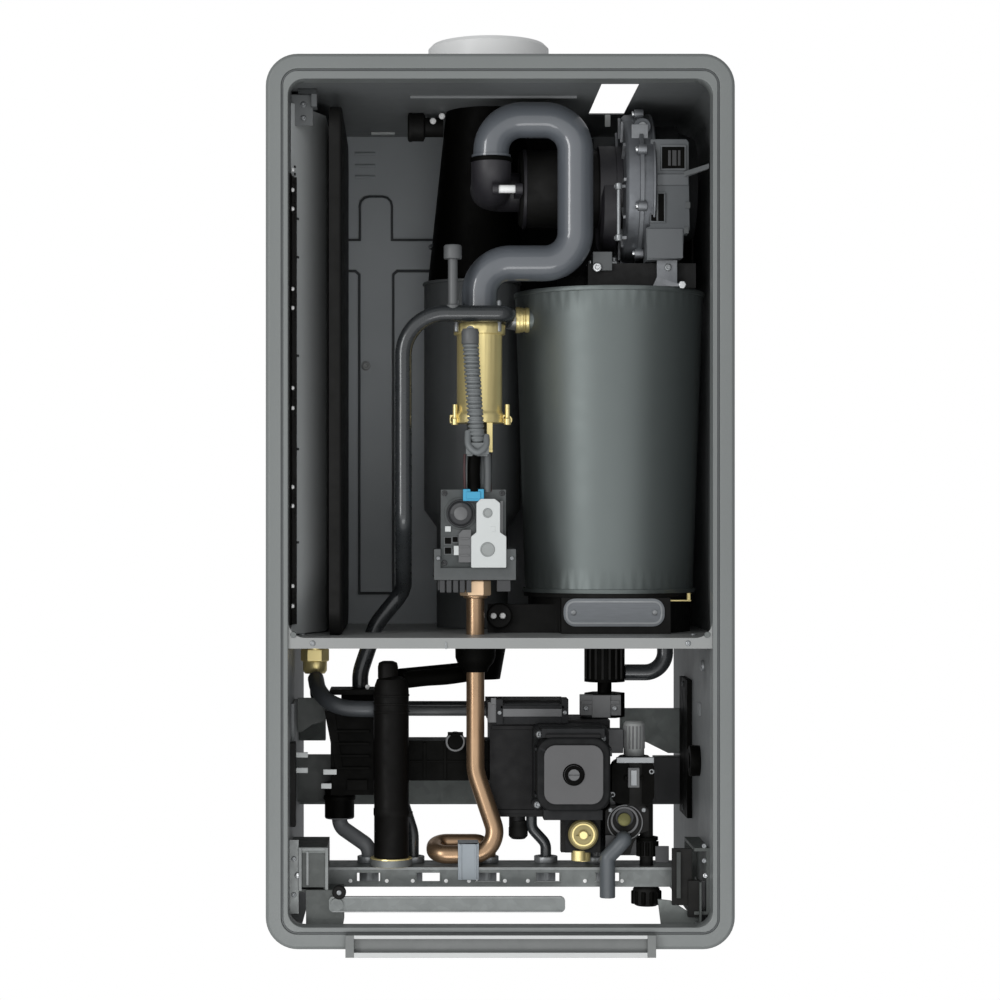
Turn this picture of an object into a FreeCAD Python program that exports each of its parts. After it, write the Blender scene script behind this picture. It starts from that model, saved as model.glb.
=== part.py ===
import FreeCAD, Part
import math
import os
import re

import Sketcher
from FreeCAD import Placement, Rotation, Vector

# A wall-hung condensing gas boiler with its front cover off.
# X is to the right, Y goes into the wall, Z is up, and the origin is the centre of the wall fixings
# on the wall. Places in this file are given as (x, depth, height): x from the middle of the casing,
# depth from its front plane and height above its lower edge.

# Driving dimensions in millimetres, one cell each.
SIZES = {
    # Casing
    "casing_width": 440, "casing_height": 840, "casing_depth": 345, "fixing_height": 780,
    "frame_side": 21, "frame_top": 24, "frame_foot": 21, "frame_depth": 22, "frame_corner": 30,
    "frame_bevel": 3, "groove_inset": 14.5, "groove_width": 2, "groove_depth": 4,
    "wall_inset": 5, "chamber_corner": 15, "sheet": 1.2, "corner_lap": 12, "bracket_deep": 10,
    "slot_from": 97, "slot_width": 36, "slot_front": 28, "slot_length": 167,
    "emboss_rise": 2, "emboss_width": 5,
    "arch_x": -121, "arch_width": 40, "arch_top": 750, "arch_foot": 704,
    "channel_top": 701, "channel_foot": 673, "channel_end": -64,
    "trough_x": -121, "trough_width": 34, "trough_foot": 325,
    "bracket_width": 300, "bracket_tall": 40, "fixing_spacing": 240, "fixing_hole": 5,
    "shelf_height": 292, "shelf_front": 3, "shelf_lip": 10, "gusset": 16, "hole_gap": 1,
    "baffle_x": -162, "baffle_thick": 12, "baffle_front": 40, "baffle_gap": 25,
    "baffle_top": 801, "baffle_corner": 26,
    "bar_depth": 235, "bar_thick": 10, "bar_foot": 109, "bar_tall": 25, "bar_end_wide": 32,
    "bar_end_tall": 50, "upper_foot": 160, "upper_tall": 46, "upper_wide": 66,
    "rail_front": 60, "rail_deep": 48, "rail_top": 69, "rail_face": 19, "rail_sheet": 1.5,
    "rail_slot_wide": 22, "rail_slot_tall": 8, "slot_first": -124.6, "slot_pitch": 57.5,
    "flow_tail": -124.6, "hot_tail": -82, "gas_tail": -9.6, "cold_tail": 47.9, "return_tail": 98,
    "tail_depth": 96, "tail_radius": 9.5, "tail_wall": 2,
    "tail_collar": 11.5, "collar_tall": 6, "tail_length": 20, "relief_tall": 2.5, "relief_cut": 0.5,
    "hinge_top": 92, "hinge_wall": 3, "hinge_wide": 35.5, "hinge_narrow": 14.5, "hinge_step": 16,
    "hinge_shoulder": 25,
    "pivot_reach": 45.3, "pivot_height": 48, "pivot_radius": 3, "pivot_head": 6, "pivot_gap": 0.3,
    "arm_front": 17, "arm_thick": 2.5, "arm_tall": 15, "arm_end": 61.7, "arm_drop": 8,
    "lip_half": 145, "lip_deep": 8, "lip_top": 15, "lip_drop": 6,
    "strip_front": 166, "strip_long": 68, "strip_foot": 103, "strip_top": 242, "strip_thick": 5,
    "gland_depth": 105, "gland_height": 167, "gland_radius": 15,
    # Flue
    "flue_x": -5, "flue_depth": 190, "flue_bore": 40, "flue_neck": 43, "collar_radius": 61,
    "collar_top": 884, "collar_flange": 68, "flange_thick": 3,
    "duct_x": -20, "duct_depth": 250, "duct_radius": 50, "duct_top": 650, "duct_step": 414,
    "duct_step_tall": 18, "duct_foot_radius": 37, "duct_wall": 2, "cone_radius": 46,
    "port_gap": 3.1, "port_radius": 14, "port_length": 36,
    # Heat exchanger
    "burner_x": 115.5, "burner_depth": 170, "jacket_foot": 331, "jacket_top": 630,
    "jacket_foot_radius": 84, "jacket_top_radius": 94, "jacket_wall": 1.5, "rim_tall": 4,
    "rim_proud": 1.5, "base_radius": 81, "pad_half": 53, "pad_reach": 86,
    "plug_x": 3, "plug_radius": 11, "plug_front": 104, "plug_deep": 26, "plug_rise": 17,
    "base_arm_front": 112, "base_arm_back": 130, "base_arm_tall": 28, "rivet_inset": 6, "rivet_radius": 2.4,
    "coil_radius": 78, "coil_inner": 48, "coil_foot": 340, "coil_turns": 12, "coil_pitch": 20,
    "burner_radius": 34, "burner_length": 170, "burner_wall": 1,
    "block_half": 52, "block_front": 100, "block_long": 130, "block_top": 654,
    "plate_half": 49, "plate_tall": 27, "plate_height": 313, "plate_thick": 1.5,
    # Fan and mixture path
    "fan_depth": 148, "fan_height": 733, "scroll_left": 125, "scroll_right": 155,
    "scroll_radius": 73, "scroll_wall": 3, "inlet_radius": 41, "inlet_left": 107,
    "wheel_radius": 60, "wheel_gap": 3, "eye_radius": 30, "shaft_radius": 4, "bearing_gap": 0.05,
    "outlet_front": 150, "outlet_long": 60, "motor_end": 197, "motor_radius": 62,
    "motor_step": 178, "motor_cap": 50,
    "silencer_left": 24, "silencer_radius": 38.5, "silencer_wall": 2,
    "tube_depth": 90, "tube_radius": 17.5, "tube_wall": 2, "tube_left": -5.6, "tube_mouth": 751,
    "tube_top": 792.5, "tube_right": 76.4, "tube_foot": 652.8, "tube_bend": 30,
    "elbow_radius": 19.5, "elbow_bend": 21,
    # Gas
    "venturi_x": -17, "venturi_radius": 22, "venturi_foot": 497, "venturi_top": 593,
    "flange_tall": 8, "ear_half": 29, "throat_radius": 9,
    "valve_left": -55, "valve_right": 7.6, "valve_front": 62, "valve_deep": 70,
    "valve_foot": 357, "valve_top": 432, "neck_radius": 12, "stub_radius": 8, "stub_foot": 337,
    "gas_x": -21.3, "gas_depth": 80, "gas_radius": 8.8, "pipe_wall": 1, "gas_bend": 22,
    "gas_knee": 159, "gas_low_x": 5.5, "gas_low": 80, "gas_turn_x": -60, "gas_front": 68,
    "gas_rise": 7.5, "gas_turn_bend": 12,
    "nut_radius": 14.5, "nut_foot": 330, "nut_tall": 14,
    "cover_thick": 9, "cover_wide": 33.6, "cover_low": 30, "cover_tall": 66, "cover_step": 5.8,
    "knob_x": -36, "knob_height": 409, "knob_radius": 11.5, "knob_deep": 8,
    "spindle_radius": 4, "yoke_left": -61.6, "yoke_right": 17.2, "yoke_foot": 345,
    "yoke_sheet": 2, "yoke_tall": 30,
    "rib_tube_depth": 52, "rib_tube_radius": 6, "rib_tube_bore": 4, "rib_tube_top": 580,
    "rib_tube_foot": 478, "rib_tube_slant": 7, "rib_tube_x": -27, "rib_count": 16, "rib_height": 1,
    "signal_radius": 5, "signal_depth": 74, "signal_pitch": 13, "signal_top": 466,
    # Water
    "flow_radius": 8, "flow_depth": 130, "flow_front": 58, "flow_height": 601, "flow_x": -91,
    "flow_bend": 40, "flow_turn_x": 9.5, "flow_turn_bend": 10,
    "port_x": 24, "port_boss": 11, "flow_knee": 333, "flow_low_x": -118, "flow_end_x": -134,
    "siphon_left": -162, "siphon_right": -120, "siphon_front": 90, "siphon_deep": 45,
    "siphon_foot": 135, "siphon_top": 236, "siphon_head": 22, "head_inset": 10,
    "socket_x": -154, "socket_radius": 14.5,
    "socket_foot": 111, "hose_radius": 7.5, "hose_bend": 12,
    "trap_x": -103, "trap_depth": 72, "trap_radius": 17.4, "trap_top": 266.5,
    "ring_radius": 20, "ring_tall": 8,
    "sump_x": -12, "sump_depth": 220, "sump_radius": 27, "sump_foot_radius": 20, "sump_foot": 240,
    "sump_arm": 8.5, "arm_height": 250,
    "manifold_foot": 148.5, "manifold_tall": 39, "manifold_front": 95, "manifold_deep": 40,
    "stack_left": -7, "stack_right": 110, "stack_front": 88, "stack_deep": 72,
    "stack_foot": 114, "stack_top": 208, "header_left": -9.4, "header_right": 67,
    "header_tall": 18, "header_front": 110,
    "fill_radius": 5, "fill_depth": 146, "fill_gap": 19.5, "fill_height": 217.5, "fill_bend": 14,
    "fitting_radius": 12, "fitting_foot": 250,
    "cold_radius": 5.3, "cold_x": 34, "cold_bend": 12, "cold_straight": 12,
    "hot_x": -92, "hot_radius": 6, "hot_depth": 110, "hot_bend": 20, "hot_straight": 22,
    "pump_x": 70, "pump_height": 162, "pump_half": 36, "pump_front": 52, "head_half": 35,
    "head_front": 22, "head_corner": 16, "face_half": 28, "face_corner": 11, "face_rise": 2,
    "can_radius": 21, "can_gap": 0.5, "can_front": 27, "rotor_radius": 28, "volute_deep": 18,
    "drain_x": 79, "drain_half": 15, "drain_foot": 84, "cock_x": 81, "cock_height": 102,
    "cock_radius": 14.4, "cock_deep": 7, "cock_stem": 5, "screw_radius": 9, "screw_rise": 3,
    "screw_stem": 4, "run_gap": 0.08, "spout_radius": 8, "spout_foot": 75,
    "vent_x": 132, "vent_depth": 75, "vent_radius": 18, "vent_foot": 128, "vent_top": 175,
    "cap_radius": 10, "cap_top": 208, "cap_stem": 5, "cap_stem_deep": 8,
    "relief_right": 133, "relief_front": 62, "relief_deep": 38, "relief_foot": 80,
    "spill_radius": 7, "spill_front": 46, "spill_x": 104, "spill_height": 97, "spill_foot": 42,
    "spill_mouth": 120, "spill_drop": 17,
    "spill_bend": 10, "tap_x": 144, "tap_radius": 6.5, "tap_foot": 54, "tap_knob": 10,
    "tap_knob_foot": 78, "tap_knob_tall": 15, "wheel_rim": 13, "wheel_tall": 24,
    "sensor_x": 108, "sensor_depth": 130, "sensor_radius": 20, "sensor_foot": 243,
    "union_radius": 20, "union_foot": 208, "union_tall": 24, "sensor_neck": 7,
    "return_x": 168, "return_radius": 8, "return_height": 252, "return_bend": 20,
    "seat_gap": 0.3,
}

# Places that follow from the sizes above.
PLACES = {
    "wall_inner": "casing_width / 2 - frame_side",
    "shell_outer": "casing_width / 2 - wall_inset",
    "shell_inner": "shell_outer - sheet",
    "hinge_front": "arm_front + arm_thick + pivot_gap",
    "roof": "casing_height - frame_top",
    "corner_x": "shell_inner - chamber_corner - corner_lap",
    "shelf_under": "shelf_height - sheet",
    "rail_under": "rail_top - rail_sheet",
    "collar_seat": "rail_top + collar_tall",
    "wheel_left": "scroll_left + scroll_wall + wheel_gap",
    "wheel_right": "scroll_right - scroll_wall - wheel_gap",
    "stack_back": "stack_front + stack_deep",
    "roof_outer": "roof + sheet",
    "back_depth": "casing_depth - bracket_deep",
    "baffle_back": "back_depth - baffle_gap",
    "rail_left": "-wall_inner + hinge_wide",
    "rail_right": "wall_inner - hinge_narrow",
    "hinge_left": "-wall_inner + hinge_step",
    "pivot_x": "-wall_inner + pivot_reach",
    "fill_x": "-wall_inner + fill_gap",
    "pad_front": "burner_depth - pad_reach",
}

WORD = re.compile(r"[a-z_]+[a-z0-9_]*")

doc = FreeCAD.newDocument("condensing_boiler")
sheet = doc.addObject("Spreadsheet::Sheet", "dims")
for row, (name, number) in enumerate(SIZES.items(), start=1):
    sheet.set(f"A{row}", name)
    sheet.set(f"B{row}", str(number))
    sheet.setAlias(f"B{row}", name)
doc.recompute()

nodes = []

TAILS = ("flow_tail", "hot_tail", "gas_tail", "cold_tail", "return_tail")


def linked(text):
    """The expression with its places spelled out and its sizes read from the sheet."""
    spelled = text
    while any(word in PLACES for word in WORD.findall(spelled)):
        spelled = WORD.sub(lambda w: f"({PLACES[w[0]]})" if w[0] in PLACES else w[0], spelled)
    return WORD.sub(lambda w: f"dims.{w[0]}" if w[0] in SIZES else w[0], spelled)


def value(text):
    """The number that an expression of sizes gives now."""
    return float(sheet.evalExpression(linked(text)))


def point(x, depth, height):
    """The point at a place of the casing."""
    return Vector(value(x), value(depth) - value("casing_depth"), value(height) - value("fixing_height"))


def bind(thing, part, text):
    thing.setExpression(part, linked(text))


def place(thing, x, depth, height, turn=None):
    """Put an object's own origin at a place of the casing, turned by a Rotation."""
    if turn is not None:
        thing.Placement = Placement(Vector(), turn)
    bind(thing, ".Placement.Base.x", x)
    bind(thing, ".Placement.Base.y", f"{depth} - casing_depth")
    bind(thing, ".Placement.Base.z", f"{height} - fixing_height")
    return thing


def node(thing, label):
    """Keep an object as a sub-part under its own name."""
    thing.Label = label
    nodes.append(thing)
    return thing


# Primitives

ALONG = {
    "x": Rotation(Vector(0, 1, 0), 90),
    "y": Rotation(Vector(1, 0, 0), -90),
    "z": Rotation(),
}


def block(name, x0, x1, depth0, depth1, height0, height1):
    """A box between three pairs of places."""
    box = doc.addObject("Part::Box", name)
    bind(box, "Length", f"{x1} - ({x0})")
    bind(box, "Width", f"{depth1} - ({depth0})")
    bind(box, "Height", f"{height1} - ({height0})")
    return place(box, x0, f"({depth0})", f"({height0})")


def rod(name, radius, length, x, depth, height, along="z"):
    """A round bar that starts at a place and runs along an axis."""
    bar = doc.addObject("Part::Cylinder", name)
    bind(bar, "Radius", radius)
    bind(bar, "Height", length)
    return place(bar, x, f"({depth})", f"({height})", ALONG[along])


def hexagon(name, radius, length, x, depth, height):
    """A hexagonal bar with an upright axis."""
    bar = doc.addObject("Part::Prism", name)
    bar.Polygon = 6
    bind(bar, "Circumradius", radius)
    bind(bar, "Height", length)
    return place(bar, x, f"({depth})", f"({height})", ALONG["z"])


def joined(name, pieces):
    whole = doc.addObject("Part::MultiFuse", name)
    whole.Shapes = pieces
    whole.Refine = True
    return whole


def without(name, solid, tools):
    """A solid with one or more others taken out of it."""
    cut = doc.addObject("Part::Cut", name)
    cut.Base = solid
    cut.Tool = tools[0] if len(tools) == 1 else joined(f"{name}_tools", tools)
    cut.Refine = True
    return cut


def group(name, pieces):
    """Separate solids of one kind, kept together."""
    whole = doc.addObject("Part::Compound", name)
    whole.Links = pieces
    return whole


# Bodies made from sketches

def new_body(name):
    return doc.addObject("PartDesign::Body", name)


def sketch_on(body, plane, name):
    """An empty sketch on one of the body's own origin planes."""
    base = [item for item in body.Origin.OriginFeatures if item.Role == plane][0]
    sketch = body.newObject("Sketcher::SketchObject", name)
    sketch.AttachmentSupport = [(base, "")]
    sketch.MapMode = "FlatFace"
    return sketch


def tie(sketch, kind, first, first_end, second, second_end, text):
    """A measured constraint that follows the sheet."""
    rule = Sketcher.Constraint(kind, first, first_end, second, second_end, value(text))
    index = sketch.addConstraint(rule)
    bind(sketch, f"Constraints[{index}]", text)


def pin(sketch, index, end, u, v):
    """Hold a sketch point at two coordinates."""
    tie(sketch, "DistanceX", -1, 1, index, end, u)
    tie(sketch, "DistanceY", -1, 1, index, end, v)


def draw_polygon(sketch, corners):
    """A closed outline of straight lines."""
    first = sketch.GeometryCount
    count = len(corners)
    points = [Vector(value(u), value(v), 0) for u, v in corners]
    for i in range(count):
        sketch.addGeometry(Part.LineSegment(points[i], points[(i + 1) % count]), False)
    for i in range(count):
        sketch.addConstraint(Sketcher.Constraint("Coincident", first + i, 2, first + (i + 1) % count, 1))
        pin(sketch, first + i, 1, *corners[i])


def draw_circle(sketch, u, v, radius):
    index = sketch.addGeometry(Part.Circle(Vector(value(u), value(v), 0), Vector(0, 0, 1), value(radius)),
                               False)
    pin(sketch, index, 3, u, v)
    rule = sketch.addConstraint(Sketcher.Constraint("Radius", index, value(radius)))
    bind(sketch, f"Constraints[{rule}]", radius)


def draw_rounded(sketch, u0, v0, u1, v1, radius):
    """A rectangle with rounded corners, drawn anticlockwise."""
    r = f"({radius})"
    ends = [
        (f"{u0} + {r}", v0), (f"{u1} - {r}", v0), (u1, f"{v0} + {r}"), (u1, f"{v1} - {r}"),
        (f"{u1} - {r}", v1), (f"{u0} + {r}", v1), (u0, f"{v1} - {r}"), (u0, f"{v0} + {r}"),
    ]
    points = [Vector(value(u), value(v), 0) for u, v in ends]
    size = value(radius)
    first = sketch.GeometryCount
    for side in range(4):
        start, finish = points[2 * side], points[2 * side + 1]
        after = points[(2 * side + 2) % 8]
        ahead = (finish - start).normalize()
        inward = Vector(-ahead.y, ahead.x, 0)
        middle = finish + inward * size + (ahead - inward) * (size * math.sqrt(0.5))
        sketch.addGeometry(Part.LineSegment(start, finish), False)
        sketch.addGeometry(Part.Arc(finish, middle, after), False)
    for side in range(4):
        line = first + 2 * side
        pin(sketch, line, 1, *ends[2 * side])
        pin(sketch, line, 2, *ends[2 * side + 1])
        sketch.addConstraint(Sketcher.Constraint("Coincident", line, 2, line + 1, 1))
        sketch.addConstraint(Sketcher.Constraint("Coincident", line + 1, 2, first + (2 * side + 2) % 8, 1))
        rule = sketch.addConstraint(Sketcher.Constraint("Radius", line + 1, size))
        bind(sketch, f"Constraints[{rule}]", radius)


def pad(body, sketch, length, reverse=False):
    feature = body.newObject("PartDesign::Pad", f"{sketch.Name}_pad")
    feature.Profile = sketch
    bind(feature, "Length", length)
    feature.Reversed = reverse
    return feature


def pocket(body, sketch, length, reverse=False):
    """Cut a sketch out of the body, and make sure that it met the solid."""
    doc.recompute()
    before = body.Shape.Volume
    feature = body.newObject("PartDesign::Pocket", f"{sketch.Name}_pocket")
    feature.Profile = sketch
    bind(feature, "Length", length)
    feature.Reversed = reverse
    doc.recompute()
    if body.Shape.Volume >= before:
        raise ValueError(f"{feature.Name} cuts nothing")
    return feature


def soften(body, feature, kind, size, chosen):
    """Fillet or chamfer the edges of the last feature that a test picks."""
    doc.recompute()
    edges = [f"Edge{i + 1}" for i, edge in enumerate(feature.Shape.Edges) if chosen(edge)]
    dressed = body.newObject(f"PartDesign::{kind}", f"{feature.Name}_{kind.lower()}")
    dressed.Base = (feature, edges)
    bind(dressed, "Radius" if kind == "Fillet" else "Size", size)
    return dressed


def in_plane(axis, coordinate):
    """A test for edges that lie in a plane of the body's own coordinates."""
    def chosen(edge):
        low = getattr(edge.BoundBox, f"{axis}Min")
        high = getattr(edge.BoundBox, f"{axis}Max")
        return abs(low - coordinate) < 1e-4 and abs(high - coordinate) < 1e-4
    return chosen


def turned(name, outline, x, depth, height, along="z"):
    """A turned piece: its outline is a list of (radius, distance along the axis)."""
    body = new_body(name)
    sketch = sketch_on(body, "XZ_Plane" if along == "z" else "XY_Plane", f"{name}_profile")
    draw_polygon(sketch, [(a, r) for r, a in outline] if along == "x" else outline)
    turn = body.newObject("PartDesign::Revolution", f"{name}_turn")
    turn.Profile = sketch
    turn.ReferenceAxis = (sketch, ["H_Axis" if along == "x" else "V_Axis"])
    turn.Angle = 360
    return place(body, x, f"({depth})", f"({height})")


# Bent pipes

def bent_path(corners, bends):
    """Straight runs joined by tangent arcs, one radius for each corner, as a wire."""
    edges = []
    start = corners[0]
    for before, corner, after, bend in zip(corners, corners[1:], corners[2:], bends):
        arriving = (corner - before).normalize()
        leaving = (after - corner).normalize()
        turn = arriving.getAngle(leaving)
        setback = bend * math.tan(turn / 2)
        entry = corner - arriving * setback
        leave = corner + leaving * setback
        inward = (leaving - arriving).normalize()
        middle = corner + inward * (bend / math.cos(turn / 2) - bend)
        if (entry - start).Length > 1e-6:
            edges.append(Part.LineSegment(start, entry).toShape())
        edges.append(Part.Arc(entry, middle, leave).toShape())
        start = leave
    edges.append(Part.LineSegment(start, corners[-1]).toShape())
    return Part.Wire(edges)


def swept(path, radius):
    """A round bar along a wire."""
    edge = path.Edges[0]
    start = edge.valueAt(edge.FirstParameter)
    ahead = edge.tangentAt(edge.FirstParameter)
    ring = Part.Wire([Part.Circle(start, ahead, radius).toShape()])
    return path.makePipeShell([ring], True, False)


def pipe(name, route, radius, wall, bends):
    """A bent pipe along places of the casing, open at both ends."""
    path = bent_path([point(*spot) for spot in route], [value(bend) for bend in bends])
    outer = swept(path, value(radius))
    inner = swept(path, value(radius) - value(wall))
    section = math.pi * (value(radius) ** 2 - (value(radius) - value(wall)) ** 2)
    shape = outer.cut(inner)
    if abs(shape.Volume / (section * path.Length) - 1) > 0.01:
        raise ValueError(f"{name} isn't its section times its length")
    feature = doc.addObject("Part::Feature", name)
    feature.Shape = shape
    return feature


# Casing

def front_frame():
    body = new_body("frame_body")
    ring = sketch_on(body, "XZ_Plane", "frame_ring")
    draw_rounded(ring, "-casing_width / 2", "0", "casing_width / 2", "casing_height", "frame_corner")
    draw_rounded(ring, "-wall_inner", "frame_foot", "wall_inner", "roof", "chamber_corner")
    solid = pad(body, ring, "frame_depth", reverse=True)
    half = value("casing_width") / 2 - 1
    front = in_plane("Y", 0)

    def outer_front(edge):
        middle = edge.BoundBox.Center
        tall = value("casing_height")
        return front(edge) and (abs(middle.x) > half - value("frame_corner") / 2
                                or middle.z < value("frame_foot") / 2
                                or middle.z > tall - value("frame_top") / 2)

    soften(body, solid, "Chamfer", "frame_bevel", outer_front)
    groove = sketch_on(body, "XZ_Plane", "frame_groove")
    for inset, radius in (("groove_inset", "frame_corner - groove_inset"),
                          ("(groove_inset + groove_width)", "frame_corner - groove_inset - groove_width")):
        draw_rounded(groove, f"-casing_width / 2 + {inset}", inset, f"casing_width / 2 - {inset}",
                     f"casing_height - {inset}", radius)
    pocket(body, groove, "groove_depth")
    return node(place(body, "0", "0", "0"), "front_frame")


def side_wall(label, side):
    """An outer wall with its rounded corners, cut from a tube of sheet, and the plate inside it."""
    body = new_body(f"{label}_body")
    ring = sketch_on(body, "XZ_Plane", f"{label}_ring")
    draw_rounded(ring, "-shell_outer", "frame_foot - sheet", "shell_outer", "roof_outer",
                 "chamber_corner + sheet")
    draw_rounded(ring, "-shell_inner", "frame_foot", "shell_inner", "roof", "chamber_corner")
    pad(body, ring, "casing_depth - frame_depth", reverse=True)
    rest = sketch_on(body, "XZ_Plane", f"{label}_rest")
    far = "(shell_outer + 1)"
    edges = (f"-{far}", "corner_x") if side > 0 else ("-corner_x", far)
    draw_polygon(rest, [(edges[0], "0"), (edges[1], "0"), (edges[1], "casing_height"),
                        (edges[0], "casing_height")])
    pocket(body, rest, "casing_depth")
    place(body, "0", "frame_depth", "0")
    near, away = "wall_inner", "wall_inner + sheet"
    if side < 0:
        near, away = "-wall_inner - sheet", "-wall_inner"
    top = "shelf_under" if side > 0 else "roof - seat_gap"
    plate = block(f"{label}_plate", near, away, "frame_depth", "back_depth", "frame_foot + seat_gap", top)
    return node(group(f"{label}_pair", [body, plate]), label)


def top_panel():
    body = new_body("top_body")
    flat = sketch_on(body, "XY_Plane", "top_flat")
    draw_polygon(flat, [("-corner_x", "frame_depth"), ("corner_x", "frame_depth"),
                        ("corner_x", "casing_depth"), ("-corner_x", "casing_depth")])
    draw_circle(flat, "flue_x", "flue_depth", "flue_neck + hole_gap")
    draw_polygon(flat, [("slot_from", "slot_front"), ("slot_from + slot_width", "slot_front"),
                        ("slot_from + slot_width", "slot_front + slot_length"),
                        ("slot_from", "slot_front + slot_length")])
    pad(body, flat, "sheet")
    return node(place(body, "0", "0", "roof"), "top_panel")


def back_panel():
    """The back of the upper chamber, with its raised stampings."""
    body = new_body("back_body")
    flat = sketch_on(body, "XZ_Plane", "back_flat")
    draw_rounded(flat, "-wall_inner", "shelf_under", "shell_inner", "roof", "chamber_corner")
    pad(body, flat, "sheet", reverse=True)
    raised = (
        ("arch", "arch_x - arch_width / 2", "arch_foot", "arch_x + arch_width / 2", "arch_top", "15"),
        ("channel", "baffle_x + 14", "channel_foot", "channel_end", "channel_top", "5"),
        ("trough", "trough_x - trough_width / 2", "trough_foot", "trough_x + trough_width / 2",
         "channel_foot - emboss_width / 2", "14"),
    )
    for name, u0, v0, u1, v1, corner in raised:
        stamp = sketch_on(body, "XZ_Plane", f"{name}_stamp")
        draw_rounded(stamp, u0, v0, u1, v1, corner)
        draw_rounded(stamp, f"{u0} + emboss_width", f"{v0} + emboss_width", f"{u1} - emboss_width",
                     f"{v1} - emboss_width", f"{corner} - emboss_width / 2")
        pad(body, stamp, "emboss_rise")
    return node(place(body, "0", "back_depth", "0"), "back_panel")


def wall_bracket():
    """The hanging rail behind the back panel, with a hole at each end for a wall screw."""
    plate = block("bracket_plate", "-bracket_width / 2", "bracket_width / 2", "casing_depth - rail_sheet",
                  "casing_depth", "fixing_height - bracket_tall / 2", "fixing_height + bracket_tall / 2")
    webs = [block(f"bracket_web_{name}", "-bracket_width / 2", "bracket_width / 2",
                  "back_depth + sheet", "casing_depth", low, f"{low} + rail_sheet")
            for name, low in (("low", "fixing_height - bracket_tall / 2"),
                              ("high", "fixing_height + bracket_tall / 2 - rail_sheet"))]
    holes = [rod(f"fixing_{name}", "fixing_hole", "casing_depth - back_depth", x, "back_depth + 2",
                 "fixing_height", "y")
             for name, x in (("left", "-fixing_spacing / 2"), ("right", "fixing_spacing / 2"))]
    return node(without("bracket", joined("bracket_whole", [plate] + webs), holes), "wall_bracket")


def middle_shelf():
    """The floor of the sealed chamber, with its lip, corner gussets and pipe holes."""
    plate = block("shelf_plate", "-wall_inner", "wall_inner", "shelf_front", "back_depth",
                  "shelf_under", "shelf_height")
    side = block("shelf_side", "wall_inner - 1", "shell_inner", "frame_depth", "back_depth", "shelf_under",
                 "shelf_height")
    lip = block("shelf_lip_bar", "-wall_inner", "wall_inner", "shelf_front", "shelf_front + rail_sheet",
                "shelf_height - shelf_lip", "shelf_height")
    gussets = []
    for name, x0, x1, centre in (("left", "-wall_inner", "-wall_inner + gusset", "-wall_inner + gusset"),
                                 ("right", "wall_inner - gusset", "wall_inner", "wall_inner - gusset")):
        corner = block(f"gusset_{name}_block", x0, x1, "shelf_front", "shelf_front + rail_sheet",
                       "shelf_height", "shelf_height + gusset")
        scoop = rod(f"gusset_{name}_scoop", "gusset", "rail_sheet", centre, "shelf_front",
                    "shelf_height + gusset", "y")
        gussets.append(without(f"gusset_{name}", corner, [scoop]))
    holes = []
    for name, x, depth, radius in (("gas", "gas_x", "gas_depth", "gas_radius"),
                                   ("flow", "flow_low_x", "flow_depth", "flow_radius + 3"),
                                   ("return", "return_x", "sensor_depth", "return_radius"),
                                   ("drain", "sump_x", "sump_depth + 8", "duct_foot_radius / 2")):
        holes.append(rod(f"shelf_hole_{name}", f"{radius} + hole_gap", "sheet * 3", x, depth,
                         "shelf_under - sheet"))
    return node(without("shelf", joined("shelf_whole", [plate, side, lip] + gussets), holes),
                "middle_shelf")


def rear_crossbars():
    """The bar across the lower section and the two brackets above its ends."""
    front, back = "bar_depth", "bar_depth + bar_thick"
    pieces = [block("bar_span", "-wall_inner", "wall_inner", front, back, "bar_foot",
                    "bar_foot + bar_tall")]
    for name, x0, x1 in (("left", "-wall_inner", "-wall_inner + bar_end_wide"),
                         ("right", "wall_inner - bar_end_wide", "wall_inner")):
        pieces.append(block(f"bar_end_{name}", x0, x1, front, back, "bar_foot", "bar_foot + bar_end_tall"))
    bar = joined("crossbar", pieces)
    left = block("upper_left", "-wall_inner", "-wall_inner + bar_end_wide - 5", front, back,
                 "upper_foot + 15", "upper_foot + 15 + upper_tall * 0.8")
    right = new_body("upper_right_body")
    outline = sketch_on(right, "XZ_Plane", "upper_right_outline")
    draw_polygon(outline, [("0", "upper_tall * 0.35"), ("upper_wide * 0.4", "upper_tall * 0.25"),
                           ("upper_wide * 0.75", "0"), ("upper_wide", "0"), ("upper_wide", "upper_tall"),
                           ("0", "upper_tall")])
    pad(right, outline, "bar_thick", reverse=True)
    place(right, "wall_inner - upper_wide", "bar_depth", "upper_foot + 2")
    return node(group("crossbars", [bar, left, right]), "rear_crossbars")


def connection_rail():
    """The angle that carries the pipe tails, with a slot in front of each tail."""
    shelf = block("rail_flange", "rail_left", "rail_right", "rail_front", "rail_front + rail_deep",
                  "rail_under", "rail_top")
    face = block("rail_face_plate", "rail_left", "rail_right", "rail_front", "rail_front + rail_sheet",
                 "rail_top - rail_face", "rail_top")
    cuts = []
    for tail in TAILS:
        cuts.append(rod(f"{tail}_hole", "tail_radius + seat_gap", "rail_sheet * 3", tail, "tail_depth",
                        "rail_under - rail_sheet"))
    for i in range(5):
        x = f"(slot_first + slot_pitch * {i})"
        cuts.append(block(f"rail_slot_{i}", f"{x} - rail_slot_wide / 2", f"{x} + rail_slot_wide / 2",
                          "rail_front - 1", "rail_front + rail_sheet + 1",
                          "rail_top - rail_face / 2 - rail_slot_tall / 2",
                          "rail_top - rail_face / 2 + rail_slot_tall / 2"))
    cuts.append(rod("tap_hole", "tap_radius + hole_gap", "rail_sheet * 3", "tap_x", "vent_depth",
                    "rail_under - rail_sheet"))
    return node(without("rail", joined("rail_whole", [shelf, face]), cuts), "connection_rail")


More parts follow.
